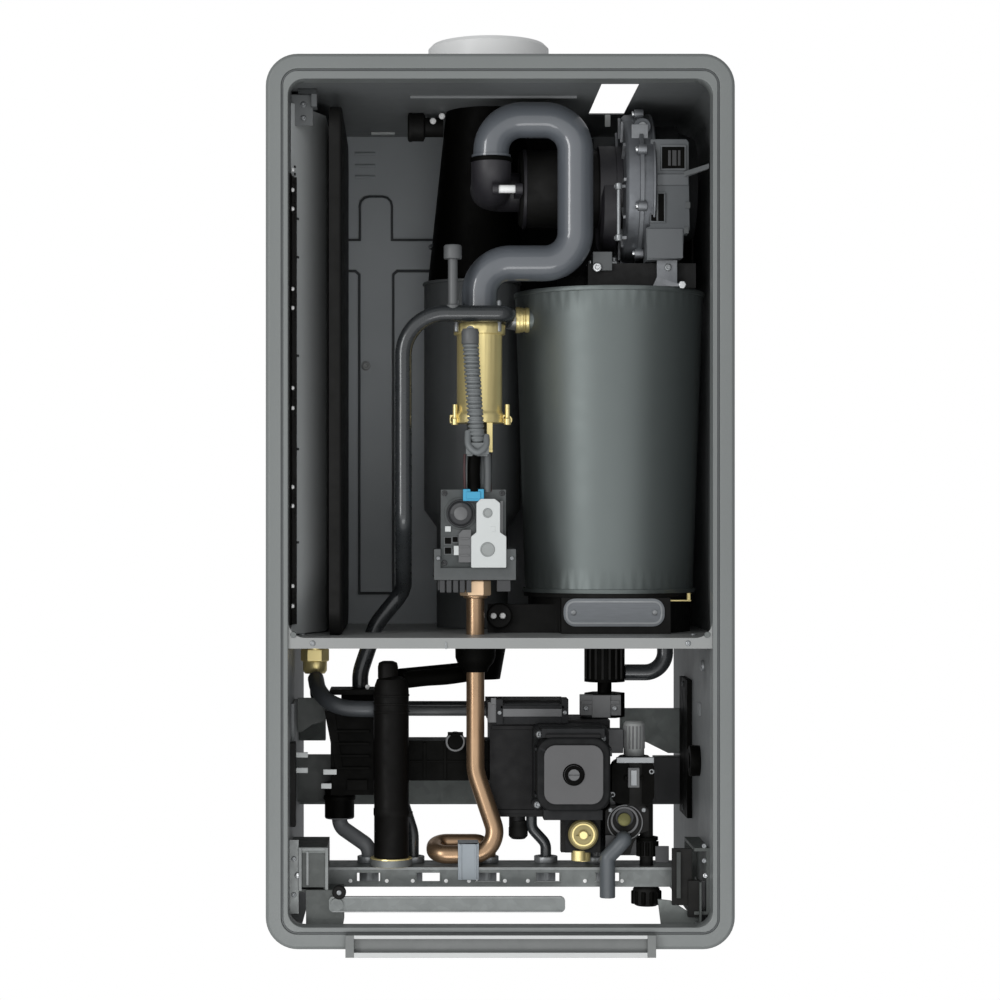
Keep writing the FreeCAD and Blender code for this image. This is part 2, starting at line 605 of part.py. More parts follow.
def pipe_tails():
    """Five threaded tails that sit in the rail, where the house pipes are joined."""
    tails = []
    bore = "tail_radius - tail_wall"
    for tail in TAILS:
        outline = [(bore, "-tail_length"), ("tail_radius", "-tail_length"), ("tail_radius", "-relief_tall"),
                   ("tail_radius - relief_cut", "-relief_tall"), ("tail_radius - relief_cut", "0"),
                   ("tail_collar", "0"), ("tail_collar", "collar_tall"), (bore, "collar_tall")]
        tails.append(turned(f"{tail}_turned", outline, tail, "tail_depth", "rail_top"))
    return node(group("tails", tails), "pipe_tails")


def hinge_brackets():
    """The two brackets that carry the rail, with the block that the support bar turns on."""
    rail_back = "rail_front + rail_deep"
    left_upper = block("hinge_left_upper", "-wall_inner", "rail_left", "hinge_shoulder", rail_back,
                       "rail_top - rail_face", "hinge_top")
    left_hollow = block("hinge_left_hollow", "-wall_inner + hinge_wall", "rail_left - hinge_wall", "0",
                        f"{rail_back} - hinge_wall", "rail_top - rail_face + hinge_wall",
                        "hinge_top - hinge_wall")
    left_lower = block("hinge_left_lower", "hinge_left", "pivot_x + pivot_head", "hinge_front",
                       "rail_front - hinge_wall", "frame_foot", "rail_top - rail_face + hinge_wall")
    pivot_hole = rod("pivot_hole", "pivot_radius", "7", "pivot_x", "hinge_front - 1",
                     "pivot_height - arm_drop", "y")
    left = without("hinge_left", joined("hinge_left_whole", [left_upper, left_lower]),
                   [left_hollow, pivot_hole])
    right_block = block("hinge_right_block", "rail_right", "wall_inner", "hinge_shoulder", rail_back,
                        "frame_foot + 8", "hinge_top")
    right_notch = block("hinge_right_notch", "rail_right - 1", "wall_inner - hinge_wall", "0",
                        f"{rail_back} - hinge_wall", "frame_foot + 8 + hinge_wall",
                        "hinge_top - hinge_wall")
    right = without("hinge_right", right_block, [right_notch])
    return node(group("hinges", [left, right]), "hinge_brackets")


def support_bar():
    """A flat stay that swings up about the pivot screw."""
    body = new_body("stay_body")
    outline = sketch_on(body, "XZ_Plane", "stay_outline")
    draw_rounded(outline, "-arm_tall / 2", "-arm_tall / 2", "arm_end - pivot_x", "arm_tall / 2",
                 "arm_tall / 2 - 3")
    draw_circle(outline, "0", "0", "pivot_radius + pivot_gap")
    pad(body, outline, "arm_thick", reverse=True)
    return node(place(body, "pivot_x", "arm_front", "(pivot_height - arm_drop)"), "support_bar")


def casing_screws():
    """The pivot screw, the screw in the back panel and one in each shelf gusset."""
    head = "(arm_front - pivot_gap)"
    pivot = turned("pivot_screw", [("0", "-2.5"), ("pivot_head", "-2.5"), ("pivot_head", "0"),
                                   ("pivot_radius", "0"), ("pivot_radius", "hinge_front + 6 - arm_front"),
                                   ("0", "hinge_front + 6 - arm_front")],
                   "pivot_x", head, "(pivot_height - arm_drop)", "y")
    back = turned("back_screw", [("0", "-3"), ("4", "-3"), ("5", "0"), ("0", "0")], "trough_x - 6.5",
                  "back_depth", "569", "y")
    gusset_screws = [turned(f"gusset_screw_{name}",
                            [("0", "-1.5"), ("2.5", "-1.5"), ("3", "0"), ("0", "0")],
                            x, "shelf_front", "shelf_height + 3", "y")
                     for name, x in (("left", "-wall_inner + 5"), ("right", "wall_inner - 5"))]
    return node(group("screws", [pivot, back] + gusset_screws), "casing_screws")


def bottom_lip():
    """The folded lip that the front cover hooks over, on the front of the frame."""
    body = new_body("lip_body")
    fold = sketch_on(body, "YZ_Plane", "lip_fold")
    draw_polygon(fold, [("-lip_deep", "-lip_drop"), ("0", "-lip_drop"), ("0", "lip_top"),
                        ("-lip_deep", "lip_top"),
                        ("-lip_deep", "lip_top - sheet"), ("-sheet", "lip_top - sheet"),
                        ("-sheet", "-lip_drop + sheet"), ("-lip_deep", "-lip_drop + sheet")])
    pad(body, fold, "lip_half * 2")
    return node(place(body, "-lip_half", "0", "0"), "bottom_lip")


def baffle_panel():
    body = new_body("baffle_body")
    outline = sketch_on(body, "YZ_Plane", "baffle_outline")
    draw_rounded(outline, "baffle_front", "shelf_height", "baffle_back", "baffle_top",
                 "baffle_corner")
    solid = pad(body, outline, "baffle_thick")
    soften(body, solid, "Fillet", "3", in_plane("X", value("baffle_thick")))
    return node(place(body, "baffle_x", "0", "0"), "baffle_panel")


def wall_strip():
    """The black cable strip and its gland on the right wall."""
    strip = block("strip_bar", "wall_inner - strip_thick", "wall_inner", "strip_front",
                  "strip_front + strip_long",
                  "strip_foot", "strip_top")
    arm = block("strip_arm", "wall_inner - strip_thick", "wall_inner", "gland_depth", "strip_front",
                "gland_height - 6", "gland_height + 6")
    gland = rod("strip_gland", "gland_radius", "strip_thick + 5", "wall_inner - strip_thick - 5",
                "gland_depth",
                "gland_height", "x")
    return node(joined("strip", [strip, arm, gland]), "wall_strip")


# Flue

def flue_collar():
    """The collar on the roof that takes the flue pipe."""
    outline = [("flue_bore", "0"), ("collar_flange", "0"), ("collar_flange", "flange_thick"),
               ("collar_radius", "flange_thick"), ("collar_radius", "collar_top - roof_outer - 4"),
               ("collar_radius - 4", "collar_top - roof_outer"), ("flue_bore", "collar_top - roof_outer")]
    return node(turned("flue_collar_turned", outline, "flue_x", "flue_depth", "(roof_outer)"),
                "flue_collar")


def slanted_shell(name, low, low_radius, high, high_radius, wall):
    """A round duct between two level circles that aren't above each other."""
    def solid(shrink):
        rings = [Part.Wire([Part.Circle(centre, Vector(0, 0, 1), radius - shrink).toShape()])
                 for centre, radius in ((low, low_radius), (high, high_radius))]
        return Part.makeLoft(rings, True, True)

    feature = doc.addObject("Part::Feature", name)
    feature.Shape = solid(0).cut(solid(wall))
    return feature


def flue_cone():
    low = point("duct_x", "duct_depth", "duct_top")
    high = point("flue_x", "flue_depth", "roof_outer")
    cone = slanted_shell("flue_cone_shell", low, value("cone_radius"), high, value("flue_neck"),
                         value("duct_wall"))
    return node(cone, "flue_cone")


def test_port_cap():
    """The capped flue-gas test port beside the neck."""
    gap = "(flue_x - flue_neck - port_length - port_gap)"
    body = turned("port_cap", [("0", "0"), ("port_radius - 2", "0"), ("port_radius", "2"),
                               ("port_radius", "port_length * 0.45"),
                               ("port_radius * 0.7", "port_length * 0.5"),
                               ("port_radius * 0.7", "port_length"), ("0", "port_length")],
                  gap, "flue_depth", "roof - port_radius - seat_gap", "x")
    return node(body, "test_port_cap")


def flue_duct():
    top, step = "duct_top - shelf_height", "duct_step - shelf_height"
    outline = [("duct_foot_radius", "0"), ("duct_foot_radius", f"{step} - duct_step_tall"),
               ("duct_radius", step),
               ("duct_radius", top), ("duct_radius - duct_wall * 4", top),
               ("duct_radius - duct_wall * 4", f"{top} - duct_wall"),
               ("duct_radius - duct_wall", f"{top} - duct_wall"), ("duct_radius - duct_wall", step),
               ("duct_foot_radius - duct_wall", f"{step} - duct_step_tall"),
               ("duct_foot_radius - duct_wall", "0")]
    return node(turned("duct", outline, "duct_x", "duct_depth", "shelf_height"), "flue_duct")


# Heat exchanger

def exchanger_jacket():
    """The tapered jacket with a rim at each end, a lid with a round opening and the flow port."""
    tall = "jacket_top - jacket_foot"
    foot, top, wall = "jacket_foot_radius", "jacket_top_radius", "jacket_wall"
    outline = [(f"{foot} - {wall}", "0"), (f"{foot} + rim_proud", "0"), (f"{foot} + rim_proud", "rim_tall"),
               (foot, "rim_tall"), (top, f"{tall} - rim_tall"),
               (f"{top} + rim_proud", f"{tall} - rim_tall"),
               (f"{top} + rim_proud", tall), ("burner_radius + hole_gap", tall),
               ("burner_radius + hole_gap", f"{tall} - {wall}"), (f"{top} - {wall}", f"{tall} - {wall}")]
    shell = turned("jacket_shell", outline, "burner_x", "burner_depth", "jacket_foot")
    boss = rod("jacket_boss", "port_boss", "burner_x - port_x", "port_x", "flow_depth", "flow_height", "x")
    bore = rod("jacket_port_bore", "flow_radius - pipe_wall", "burner_x - port_x", "port_x", "flow_depth",
               "flow_height", "x")
    inside = turned("jacket_inside", [("0", "1"), (f"{foot} - {wall}", "1"),
                                      (f"{top} - {wall}", f"{tall} - {wall}"),
                                      ("0", f"{tall} - {wall}")], "burner_x", "burner_depth", "jacket_foot")
    port = without("jacket_port", boss, [inside])
    return node(without("jacket", joined("jacket_whole", [shell, port]), [bore]), "exchanger_jacket")


def exchanger_coil():
    """The stack of coiled water passages, as one ribbed sleeve that stands on the base."""
    outline = [("coil_inner", "0"), ("coil_radius - 8", "0")]
    for turn in range(int(value("coil_turns"))):
        low = f"(coil_foot - jacket_foot + coil_pitch * {turn})"
        outline.append(("coil_radius - 4", low))
        outline.append(("coil_radius", f"{low} + coil_pitch * 0.3"))
        outline.append(("coil_radius", f"{low} + coil_pitch * 0.7"))
        outline.append(("coil_radius - 4", f"{low} + coil_pitch * 0.95"))
    outline.append(("coil_inner", f"coil_foot - jacket_foot + coil_pitch * {int(value('coil_turns'))}"))
    return node(turned("coil", outline, "burner_x", "burner_depth", "jacket_foot"), "exchanger_coil")


def burner():
    """The closed burner tube that hangs from the burner plate."""
    outline = [("0", "0"), ("burner_radius", "0"), ("burner_radius", "burner_length"),
               ("burner_radius - burner_wall", "burner_length"),
               ("burner_radius - burner_wall", "burner_wall"),
               ("0", "burner_wall")]
    return node(turned("burner_tube", outline, "burner_x", "burner_depth", "jacket_top - burner_length"),
                "burner")


def burner_plate():
    """The cast block that joins the fan outlet to the burner."""
    whole = block("plate_block", "burner_x - block_half * 0.5", "motor_end - 2", "block_front",
                  "block_front + block_long", "jacket_top", "block_top")
    disc = rod("plate_disc", "block_half", "(block_top - jacket_top) * 0.6", "burner_x", "burner_depth",
               "jacket_top")
    way = rod("plate_way", "scroll_right / 2 - scroll_left / 2 - scroll_wall", "block_top - jacket_top",
              "(scroll_left + scroll_right) / 2", "outlet_front + outlet_long / 2", "jacket_top")
    return node(without("plate", joined("plate_whole", [whole, disc]), [way]), "burner_plate")


def exchanger_base():
    """The black base with its flat front pad."""
    tall = "jacket_foot - shelf_height"
    drum = turned("base_drum", [("0", "0"), ("base_radius", "0"), ("base_radius", f"{tall} - rim_tall"),
                                ("jacket_foot_radius + rim_proud", f"{tall} - rim_tall"),
                                ("jacket_foot_radius + rim_proud", tall), ("0", tall)],
                  "burner_x", "burner_depth", "shelf_height")
    pad_block = block("base_pad", "burner_x - pad_half", "burner_x + pad_half", "pad_front", "burner_depth",
                      "shelf_height", "jacket_foot - rim_tall")
    plug = rod("base_plug", "plug_radius", "plug_deep", "plug_x", "plug_front", "shelf_height + plug_rise",
               "y")
    arm = block("base_arm", "plug_x - plug_radius", "burner_x - pad_half", "base_arm_front",
                "base_arm_back", "shelf_height", "shelf_height + base_arm_tall")
    return node(joined("base", [drum, pad_block, plug, arm]), "exchanger_base")


def name_plate():
    """A bare plate with rounded ends and a rivet at each end."""
    body = new_body("name_plate_body")
    outline = sketch_on(body, "XZ_Plane", "name_plate_outline")
    draw_rounded(outline, "-plate_half", "-plate_tall / 2", "plate_half", "plate_tall / 2",
                 "plate_tall / 2 - 2")
    pad(body, outline, "plate_thick")
    for side in ("-", ""):
        rivet = sketch_on(body, "XZ_Plane", f"rivet{'_left' if side else '_right'}")
        draw_circle(rivet, f"{side}(plate_half - rivet_inset)", "0", "rivet_radius")
        pad(body, rivet, "plate_thick + 1")
    return node(place(body, "burner_x - 2", "pad_front", "plate_height"), "name_plate")


# Fan and mixture path

def fan_scroll():
    """The cast scroll: a drum on its side with an inlet ring and an outlet that stands on the plate."""
    width = "scroll_right - scroll_left"
    drum = turned("scroll_drum", [("0", "0"), ("scroll_radius - 3", "0"), ("scroll_radius", "3"),
                                  ("scroll_radius", f"{width} - 3"), ("scroll_radius - 3", width),
                                  ("0", width)],
                  "scroll_left", "fan_depth", "fan_height", "x")
    inlet = rod("scroll_inlet", "inlet_radius", "scroll_left - inlet_left", "inlet_left", "fan_depth",
                "fan_height", "x")
    outlet = block("scroll_outlet", "scroll_left", "scroll_right", "outlet_front",
                   "outlet_front + outlet_long",
                   "block_top", "fan_height - scroll_radius / 2")
    cavity = rod("scroll_cavity", "scroll_radius - scroll_wall", f"{width} - scroll_wall * 2",
                 "scroll_left + scroll_wall", "fan_depth", "fan_height", "x")
    eye = rod("scroll_eye", "eye_radius", "scroll_left - inlet_left + scroll_wall * 2", "inlet_left - 1",
              "fan_depth", "fan_height", "x")
    throat = block("scroll_throat", "scroll_left + scroll_wall", "scroll_right - scroll_wall",
                   "outlet_front + scroll_wall", "outlet_front + outlet_long - scroll_wall",
                   "block_top - 1",
                   "fan_height - scroll_radius / 2")
    bearing = rod("scroll_bearing", "shaft_radius + bearing_gap", "scroll_wall * 3",
                  "scroll_right - scroll_wall * 2",
                  "fan_depth", "fan_height", "x")
    whole = joined("scroll_whole", [drum, inlet, outlet])
    return node(without("scroll", whole, [cavity, eye, throat, bearing]), "fan_scroll")


def fan_impeller():
    """The blower wheel and its shaft, which ends inside the motor."""
    wheel = "wheel_right - wheel_left"
    outline = [("0", "0"), ("shaft_radius * 2", "0"), ("shaft_radius * 2", f"({wheel}) * 0.7"),
               ("wheel_radius", f"({wheel}) * 0.85"), ("wheel_radius", wheel), ("shaft_radius * 2", wheel),
               ("shaft_radius", f"{wheel} + 0.5"), ("shaft_radius", "motor_step - wheel_left - 4"),
               ("0", "motor_step - wheel_left - 4")]
    hub = turned("wheel_hub", outline, "wheel_left", "fan_depth", "fan_height", "x")
    blades = []
    count = 12
    for i in range(count):
        blade = block(f"blade_{i}", "wheel_left", "wheel_left + (wheel_right - wheel_left) * 0.9", "0",
                      "1.5",
                      "wheel_radius * 0.55", "wheel_radius")
        angle = 360 / count * i
        blade.Placement = Placement(Vector(), Rotation(Vector(1, 0, 0), angle))
        turn = math.radians(angle)
        bind(blade, ".Placement.Base.x", "wheel_left")
        bind(blade, ".Placement.Base.y",
             f"fan_depth - casing_depth - wheel_radius * 0.55 * {math.sin(turn):.6f}")
        bind(blade, ".Placement.Base.z",
             f"fan_height - fixing_height + wheel_radius * 0.55 * {math.cos(turn):.6f}")
        blades.append(blade)
    return node(joined("wheel", [hub] + blades), "fan_impeller")


def fan_motor():
    body = turned("motor_turned", [("0", "0"), ("motor_radius - 3", "0"), ("motor_radius", "3"),
                                   ("motor_radius", "motor_step - scroll_right"),
                                   ("motor_cap + 6", "motor_step - scroll_right + 3"),
                                   ("motor_cap", "motor_end - scroll_right"),
                                   ("0", "motor_end - scroll_right")],
                  "scroll_right", "fan_depth", "fan_height", "x")
    bore = rod("motor_bore", "shaft_radius + bearing_gap", "motor_step - scroll_right", "scroll_right - 1",
               "fan_depth", "fan_height", "x")
    return node(without("motor", body, [bore]), "fan_motor")


def inlet_silencer():
    width = "inlet_left - silencer_left"
    radius, wall = "silencer_radius", "silencer_wall"
    outline = [("elbow_radius - 3", "0"), (f"{radius} - 3", "0"), (radius, "3"), (radius, f"{width} - 3"),
               (f"{radius} - 3", width), ("eye_radius", width), ("eye_radius", f"{width} - {wall}"),
               (f"{radius} - {wall}", f"{width} - {wall} - 2"), (f"{radius} - {wall}", f"{wall} + 2"),
               ("elbow_radius - 3", wall)]
    return node(turned("silencer", outline, "silencer_left", "fan_depth", "fan_height", "x"),
                "inlet_silencer")


def inlet_elbow():
    route = [("tube_left", "tube_depth", "tube_mouth"), ("tube_left", "tube_depth", "fan_height - 3"),
             ("tube_left", "fan_depth", "fan_height - 3"), ("silencer_left", "fan_depth", "fan_height - 3")]
    return node(pipe("elbow", route, "elbow_radius", "tube_wall", ["elbow_bend"] * 2), "inlet_elbow")


def mixture_tube():
    """The large bent tube from the venturi up, over and down into the elbow."""
    route = [("tube_left", "tube_depth", "tube_mouth"), ("tube_left", "tube_depth", "tube_top"),
             ("tube_right", "tube_depth", "tube_top"), ("tube_right", "tube_depth", "tube_foot"),
             ("venturi_x", "tube_depth", "tube_foot"), ("venturi_x", "tube_depth", "venturi_top")]
    return node(pipe("mixture", route, "tube_radius", "tube_wall", ["tube_bend"] * 4), "mixture_tube")


# Gas

def venturi():
    tall = "(venturi_top - venturi_foot)"
    radius = "venturi_radius"
    outline = [("throat_radius", "0"), (f"{radius} + 2", "0"), (f"{radius} + 2", "flange_tall"),
               (radius, "flange_tall + 4"), (radius, f"{tall} - 10"), (f"{radius} + 3", f"{tall} - 10"),
               (f"{radius} + 3", tall), ("tube_radius - tube_wall", tall),
               ("throat_radius", f"{tall} * 0.5")]
    drum = turned("venturi_drum", outline, "venturi_x", "tube_depth", "venturi_foot")
    ears = block("venturi_ears", "venturi_x - ear_half", "venturi_x + ear_half", "tube_depth - 8",
                 "tube_depth + 8",
                 "venturi_foot", "venturi_foot + flange_tall")
    way = rod("venturi_way", "throat_radius", "flange_tall * 2", "venturi_x", "tube_depth",
              "venturi_foot - 1")
    return node(without("venturi_cut", joined("venturi_whole", [drum, ears]), [way]), "venturi")


def gas_valve():
    """The valve body with its outlet neck up to the venturi and its inlet stub below."""
    body = block("valve_block", "valve_left", "valve_right", "valve_front", "valve_front + valve_deep",
                 "valve_foot", "valve_top")
    neck = rod("valve_neck", "neck_radius", "venturi_foot - valve_top", "venturi_x", "tube_depth",
               "valve_top")
    stub = rod("valve_stub", "stub_radius", "valve_foot - stub_foot", "gas_x", "gas_depth", "stub_foot")
    spindle = rod("valve_spindle_hole", "spindle_radius + run_gap", "knob_deep + 1", "knob_x",
                  "valve_front - 1",
                  "knob_height", "y")
    return node(without("valve", joined("valve_whole", [body, neck, stub]), [spindle]), "gas_valve")


def valve_cover():
    """The pale two-step cover on the front of the valve."""
    body = new_body("cover_body")
    outline = sketch_on(body, "XZ_Plane", "cover_outline")
    step, top = "cover_low", "cover_tall"
    draw_polygon(outline, [("-cover_wide", "0"), ("0", "0"), ("0", step), ("-cover_step", f"{step} + 4"),
                           ("-cover_step", f"{top} - 4"), ("-cover_step - 5", top),
                           ("5 - cover_wide + 4", top), ("5 - cover_wide", f"{top} - 4"),
                           ("5 - cover_wide", f"{step} + 4"), ("-cover_wide", step)])
    pad(body, outline, "cover_thick")
    return node(place(body, "valve_right", "valve_front", "valve_foot"), "valve_cover")


def adjuster_knob():
    body = turned("knob_turned", [("0", "-knob_deep"), ("knob_radius - 1.5", "-knob_deep"),
                                  ("knob_radius", "1.5 - knob_deep"), ("knob_radius", "-seat_gap"),
                                  ("spindle_radius", "-seat_gap"), ("spindle_radius", "knob_deep - 1"),
                                  ("0", "knob_deep - 1")], "knob_x", "valve_front", "knob_height", "y")
    slot = block("knob_slot", "knob_x - 5.5", "knob_x + 5.5", "valve_front - knob_deep - 1",
                 "valve_front - knob_deep + 2", "knob_height - 1", "knob_height + 1")
    return node(without("knob", body, [slot]), "adjuster_knob")


def valve_bracket():
    """The yoke under the valve, whose plate runs back to the flue duct."""
    plate = block("yoke_plate", "yoke_left", "yoke_right", "valve_front - 4",
                  "duct_depth - duct_foot_radius - seat_gap",
                  "yoke_foot", "yoke_foot + yoke_sheet")
    arms = [block(f"yoke_arm_{name}", x0, x1, "valve_front - 4", "valve_front + valve_deep", "yoke_foot",
                  "yoke_foot + yoke_tall")
            for name, x0, x1 in (("left", "yoke_left", "valve_left"),
                                 ("right", "valve_right", "yoke_right"))]
    seat = block("yoke_seat", "valve_left", "valve_right", "valve_front - 4", "valve_front + valve_deep",
                 "yoke_foot", "valve_foot")
    hole = rod("yoke_hole", "stub_radius + seat_gap", "valve_foot", "gas_x", "gas_depth", "0")
    return node(without("yoke", joined("yoke_whole", [plate, seat] + arms), [hole]), "valve_bracket")


def gas_pipe():
    """The copper pipe from the valve down, with its low loop forward and back to the gas tail."""
    rise = "gas_low + gas_rise"
    route = [("gas_x", "gas_depth", "stub_foot"), ("gas_x", "gas_depth", "gas_knee"),
             ("gas_low_x", "gas_front", "gas_low"), ("gas_turn_x", "gas_front", "gas_low"),
             ("gas_turn_x", "tail_depth", rise), ("gas_tail", "tail_depth", rise),
             ("gas_tail", "tail_depth", "collar_seat")]
    bends = ["gas_bend * 2", "gas_bend", "gas_turn_bend", "gas_turn_bend", "gas_turn_bend"]
    return node(pipe("gas_run", route, "gas_radius", "pipe_wall", bends), "gas_pipe")


def ribbed_run(name, low, high, radius, bore, count, rise):
    """A straight ribbed hose with its bore, lofted through four circles for each rib."""
    ahead = (high - low).normalize()
    steady = Vector(1, 0, 0).cross(ahead).cross(ahead).normalize()
    pitch = (high - low).Length / count
    rings = []
    for rib in range(count):
        for share, size in ((0.0, radius - rise), (0.2, radius), (0.6, radius), (0.8, radius - rise)):
            centre = low + ahead * (pitch * (rib + share))
            circle = Part.Circle(centre, ahead, size)
            circle.XAxis = steady
            rings.append(Part.Wire([circle.toShape()]))
    circle = Part.Circle(high, ahead, radius - rise)
    circle.XAxis = steady
    rings.append(Part.Wire([circle.toShape()]))
    hole = Part.makeCylinder(bore, (high - low).Length, low, ahead)
    hose = doc.addObject("Part::Feature", name)
    hose.Shape = Part.makeLoft(rings, True, True).cut(hole)
    return hose


def signal_tubes():
    """The ribbed tube before the venturi, its nipple and socket, and the two tubes under the socket."""
    hose = ribbed_run("ribbed", point("rib_tube_x + rib_tube_slant", "signal_depth - 14", "rib_tube_foot"),
                      point("rib_tube_x", "rib_tube_depth", "rib_tube_top"),
                      value("rib_tube_radius + rib_height"),
                      value("rib_tube_bore"), int(value("rib_count")), value("rib_height"))
    nipple = rod("nipple", "rib_tube_bore",
                 "tube_depth - rib_tube_depth - venturi_radius + rib_tube_radius - 2.2",
                 "rib_tube_x", "rib_tube_depth - rib_tube_radius", "rib_tube_top + rib_tube_bore + 0.4",
                 "y")
    middle = "(rib_tube_x + rib_tube_slant)"
    socket = block("signal_socket", f"{middle} - 11", f"{middle} + 11", "signal_depth - 22",
                   "signal_depth + 3",
                   "signal_top", "rib_tube_foot - 1.2")
    tubes = [rod(f"signal_{side}", "signal_radius", "signal_top - valve_top",
                 f"{middle} {side} signal_pitch / 2", "signal_depth - 5", "valve_top")
             for side in ("-", "+")]
    return node(group("signals", [hose, nipple, socket] + tubes), "signal_tubes")


# Water

def flow_pipe():
    """The flow pipe from the heat exchanger's port, in front of the mixture tube, to the siphon."""
    route = [("port_x", "flow_depth", "flow_height"), ("flow_turn_x", "flow_depth", "flow_height"),
             ("flow_turn_x", "flow_front", "flow_height"), ("flow_x", "flow_front", "flow_height"),
             ("flow_x", "flow_front", "flow_knee * 1.2"), ("flow_x", "flow_depth", "flow_knee"),
             ("flow_low_x", "flow_depth", "shelf_height + 8"),
             ("flow_end_x", "flow_depth", "siphon_top + 16"), ("flow_end_x", "flow_depth", "siphon_top")]
    bends = ["flow_turn_bend", "flow_turn_bend", "flow_bend", "flow_bend / 2", "flow_bend / 2",
             "flow_bend", "flow_bend"]
    return node(pipe("flow", route, "flow_radius", "pipe_wall", bends), "flow_pipe")


def return_pipe():
    """The pipe from under the heat exchanger into the side of the flow sensor."""
    route = [("return_x", "sensor_depth", "shelf_height"), ("return_x", "sensor_depth", "return_height"),
             ("sensor_x + sensor_radius + seat_gap", "sensor_depth", "return_height")]
    return node(pipe("return", route, "return_radius", "pipe_wall", ["return_bend"]), "return_pipe")


def water_pipes():
    """The small pipes of the lower section: filling, hot, cold, return and relief discharge."""
    fill = [("fill_x", "fill_depth", "fitting_foot"), ("fill_x", "fill_depth", "fill_height"),
            ("header_left", "fill_depth", "fill_height")]
    hot = [("hot_x", "hot_depth", "manifold_foot"), ("hot_x", "hot_depth", "manifold_foot - hot_straight"),
           ("hot_tail", "tail_depth", "collar_seat + hot_straight"),
           ("hot_tail", "tail_depth", "collar_seat")]
    cold = [("cold_x", "tail_depth", "stack_foot"), ("cold_x", "tail_depth", "stack_foot - cold_straight"),
            ("cold_tail", "tail_depth", "collar_seat + cold_straight"),
            ("cold_tail", "tail_depth", "collar_seat")]
    home = [("return_tail", "tail_depth", "stack_foot"), ("return_tail", "tail_depth", "collar_seat")]
    spill = [("spill_mouth", "relief_front", "spill_height"), ("spill_mouth", "spill_front", "spill_height"),
             ("spill_x", "spill_front", "spill_height - spill_drop"),
             ("spill_x", "spill_front", "spill_foot")]
    runs = [
        pipe("fill_run", fill, "fill_radius", "pipe_wall", ["fill_bend"]),
        pipe("hot_run", hot, "hot_radius", "pipe_wall", ["hot_bend"] * 2),
        pipe("cold_run", cold, "cold_radius", "pipe_wall", ["cold_bend"] * 2),
        pipe("home_run", home, "return_radius", "pipe_wall", []),
        pipe("spill_run", spill, "spill_radius", "pipe_wall", ["spill_bend - 1", "spill_bend"]),
    ]
    return node(group("small_pipes", runs), "water_pipes")


def brass_fittings():
    """The fixed brass pieces: filling fitting, trap ring, gas nut, port ring and drain spout."""
    fitting = turned("fill_fitting", [("0", "0"), ("fitting_radius - 2", "0"), ("fitting_radius", "3"),
                                      ("fitting_radius", "12"), ("fitting_radius - 2", "14"),
                                      ("fitting_radius - 2", "20"), ("fitting_radius", "22"),
                                      ("fitting_radius", "shelf_under - fitting_foot"),
                                      ("0", "shelf_under - fitting_foot")],
                     "fill_x", "fill_depth", "fitting_foot")
    ring = turned("trap_seat", [("ring_radius - 8", "0"), ("ring_radius", "0"),
                                ("ring_radius", "ring_tall"),
                                ("ring_radius - 8", "ring_tall")], "trap_x", "trap_depth", "rail_top")
    nut_bore = rod("nut_bore", "gas_radius + seat_gap", "nut_tall * 2", "gas_x", "gas_depth",
                   "nut_foot - 1")
    nut = without("gas_nut", hexagon("gas_nut_hexagon", "nut_radius", "nut_tall", "gas_x", "gas_depth",
                                     "nut_foot"),
                  [nut_bore])
    clip = turned("port_ring", [("flow_radius + seat_gap", "0"), ("port_boss + 2", "0"),
                                ("port_boss + 2", "4"),
                                ("flow_radius + seat_gap", "4")], "port_x - 4", "flow_depth",
                                "flow_height", "x")
    spout = rod("drain_spout", "spout_radius", "drain_foot - spout_foot", "cock_x", "pump_front + 10",
                "spout_foot")
    return node(group("brass", [fitting, ring, nut, clip, spout]), "brass_fittings")


def condensate_sump():
    """The cup under the shelf, with the arm that leads to the trap tube."""
    tall = "shelf_under - sump_foot"
    cup = turned("sump_cup", [("0", "0"), ("sump_foot_radius", "0"), ("sump_radius", f"{tall} - 12"),
                              ("sump_radius", tall), ("0", tall)], "sump_x", "sump_depth", "sump_foot")
    middle = point("sump_x", "sump_depth", "arm_height")
    trap = point("trap_x", "trap_depth", "arm_height")
    ahead = (middle - trap).normalize()
    start = trap + ahead * (value("trap_radius") + value("seat_gap"))
    arm = doc.addObject("Part::Feature", "sump_arm_run")
    arm.Shape = Part.makeCylinder(value("sump_arm"), (middle - start).Length, start, ahead)
    return node(joined("sump", [cup, arm]), "condensate_sump")


def trap_tube():
    tall = "trap_top - rail_top - ring_tall"
    outline = [("trap_radius - 2", "0"), ("trap_radius", "0"), ("trap_radius", f"{tall} - 8"),
               ("trap_radius - 3", f"{tall} - 2"), ("trap_radius - 9", tall), ("0", tall),
               ("0", f"{tall} - 3"),
               ("trap_radius - 2", f"{tall} - 10")]
    return node(turned("trap", outline, "trap_x", "trap_depth", "(rail_top + ring_tall)"), "trap_tube")


def siphon_body():
    """The siphon block with its stepped top and the hose socket under it."""
    main = block("siphon_main", "siphon_left", "siphon_right", "siphon_front", "siphon_front + siphon_deep",
                 "siphon_foot", "siphon_top - siphon_head")
    top = block("siphon_head", "siphon_left + head_inset", "siphon_right", "siphon_front + head_inset",
                "siphon_front + siphon_deep", "siphon_top - siphon_head", "siphon_top")
    socket = rod("siphon_socket", "socket_radius", "siphon_foot - socket_foot + 10", "socket_x",
                 "siphon_front + siphon_deep / 2", "socket_foot")
    return node(joined("siphon", [main, top, socket]), "siphon_body")


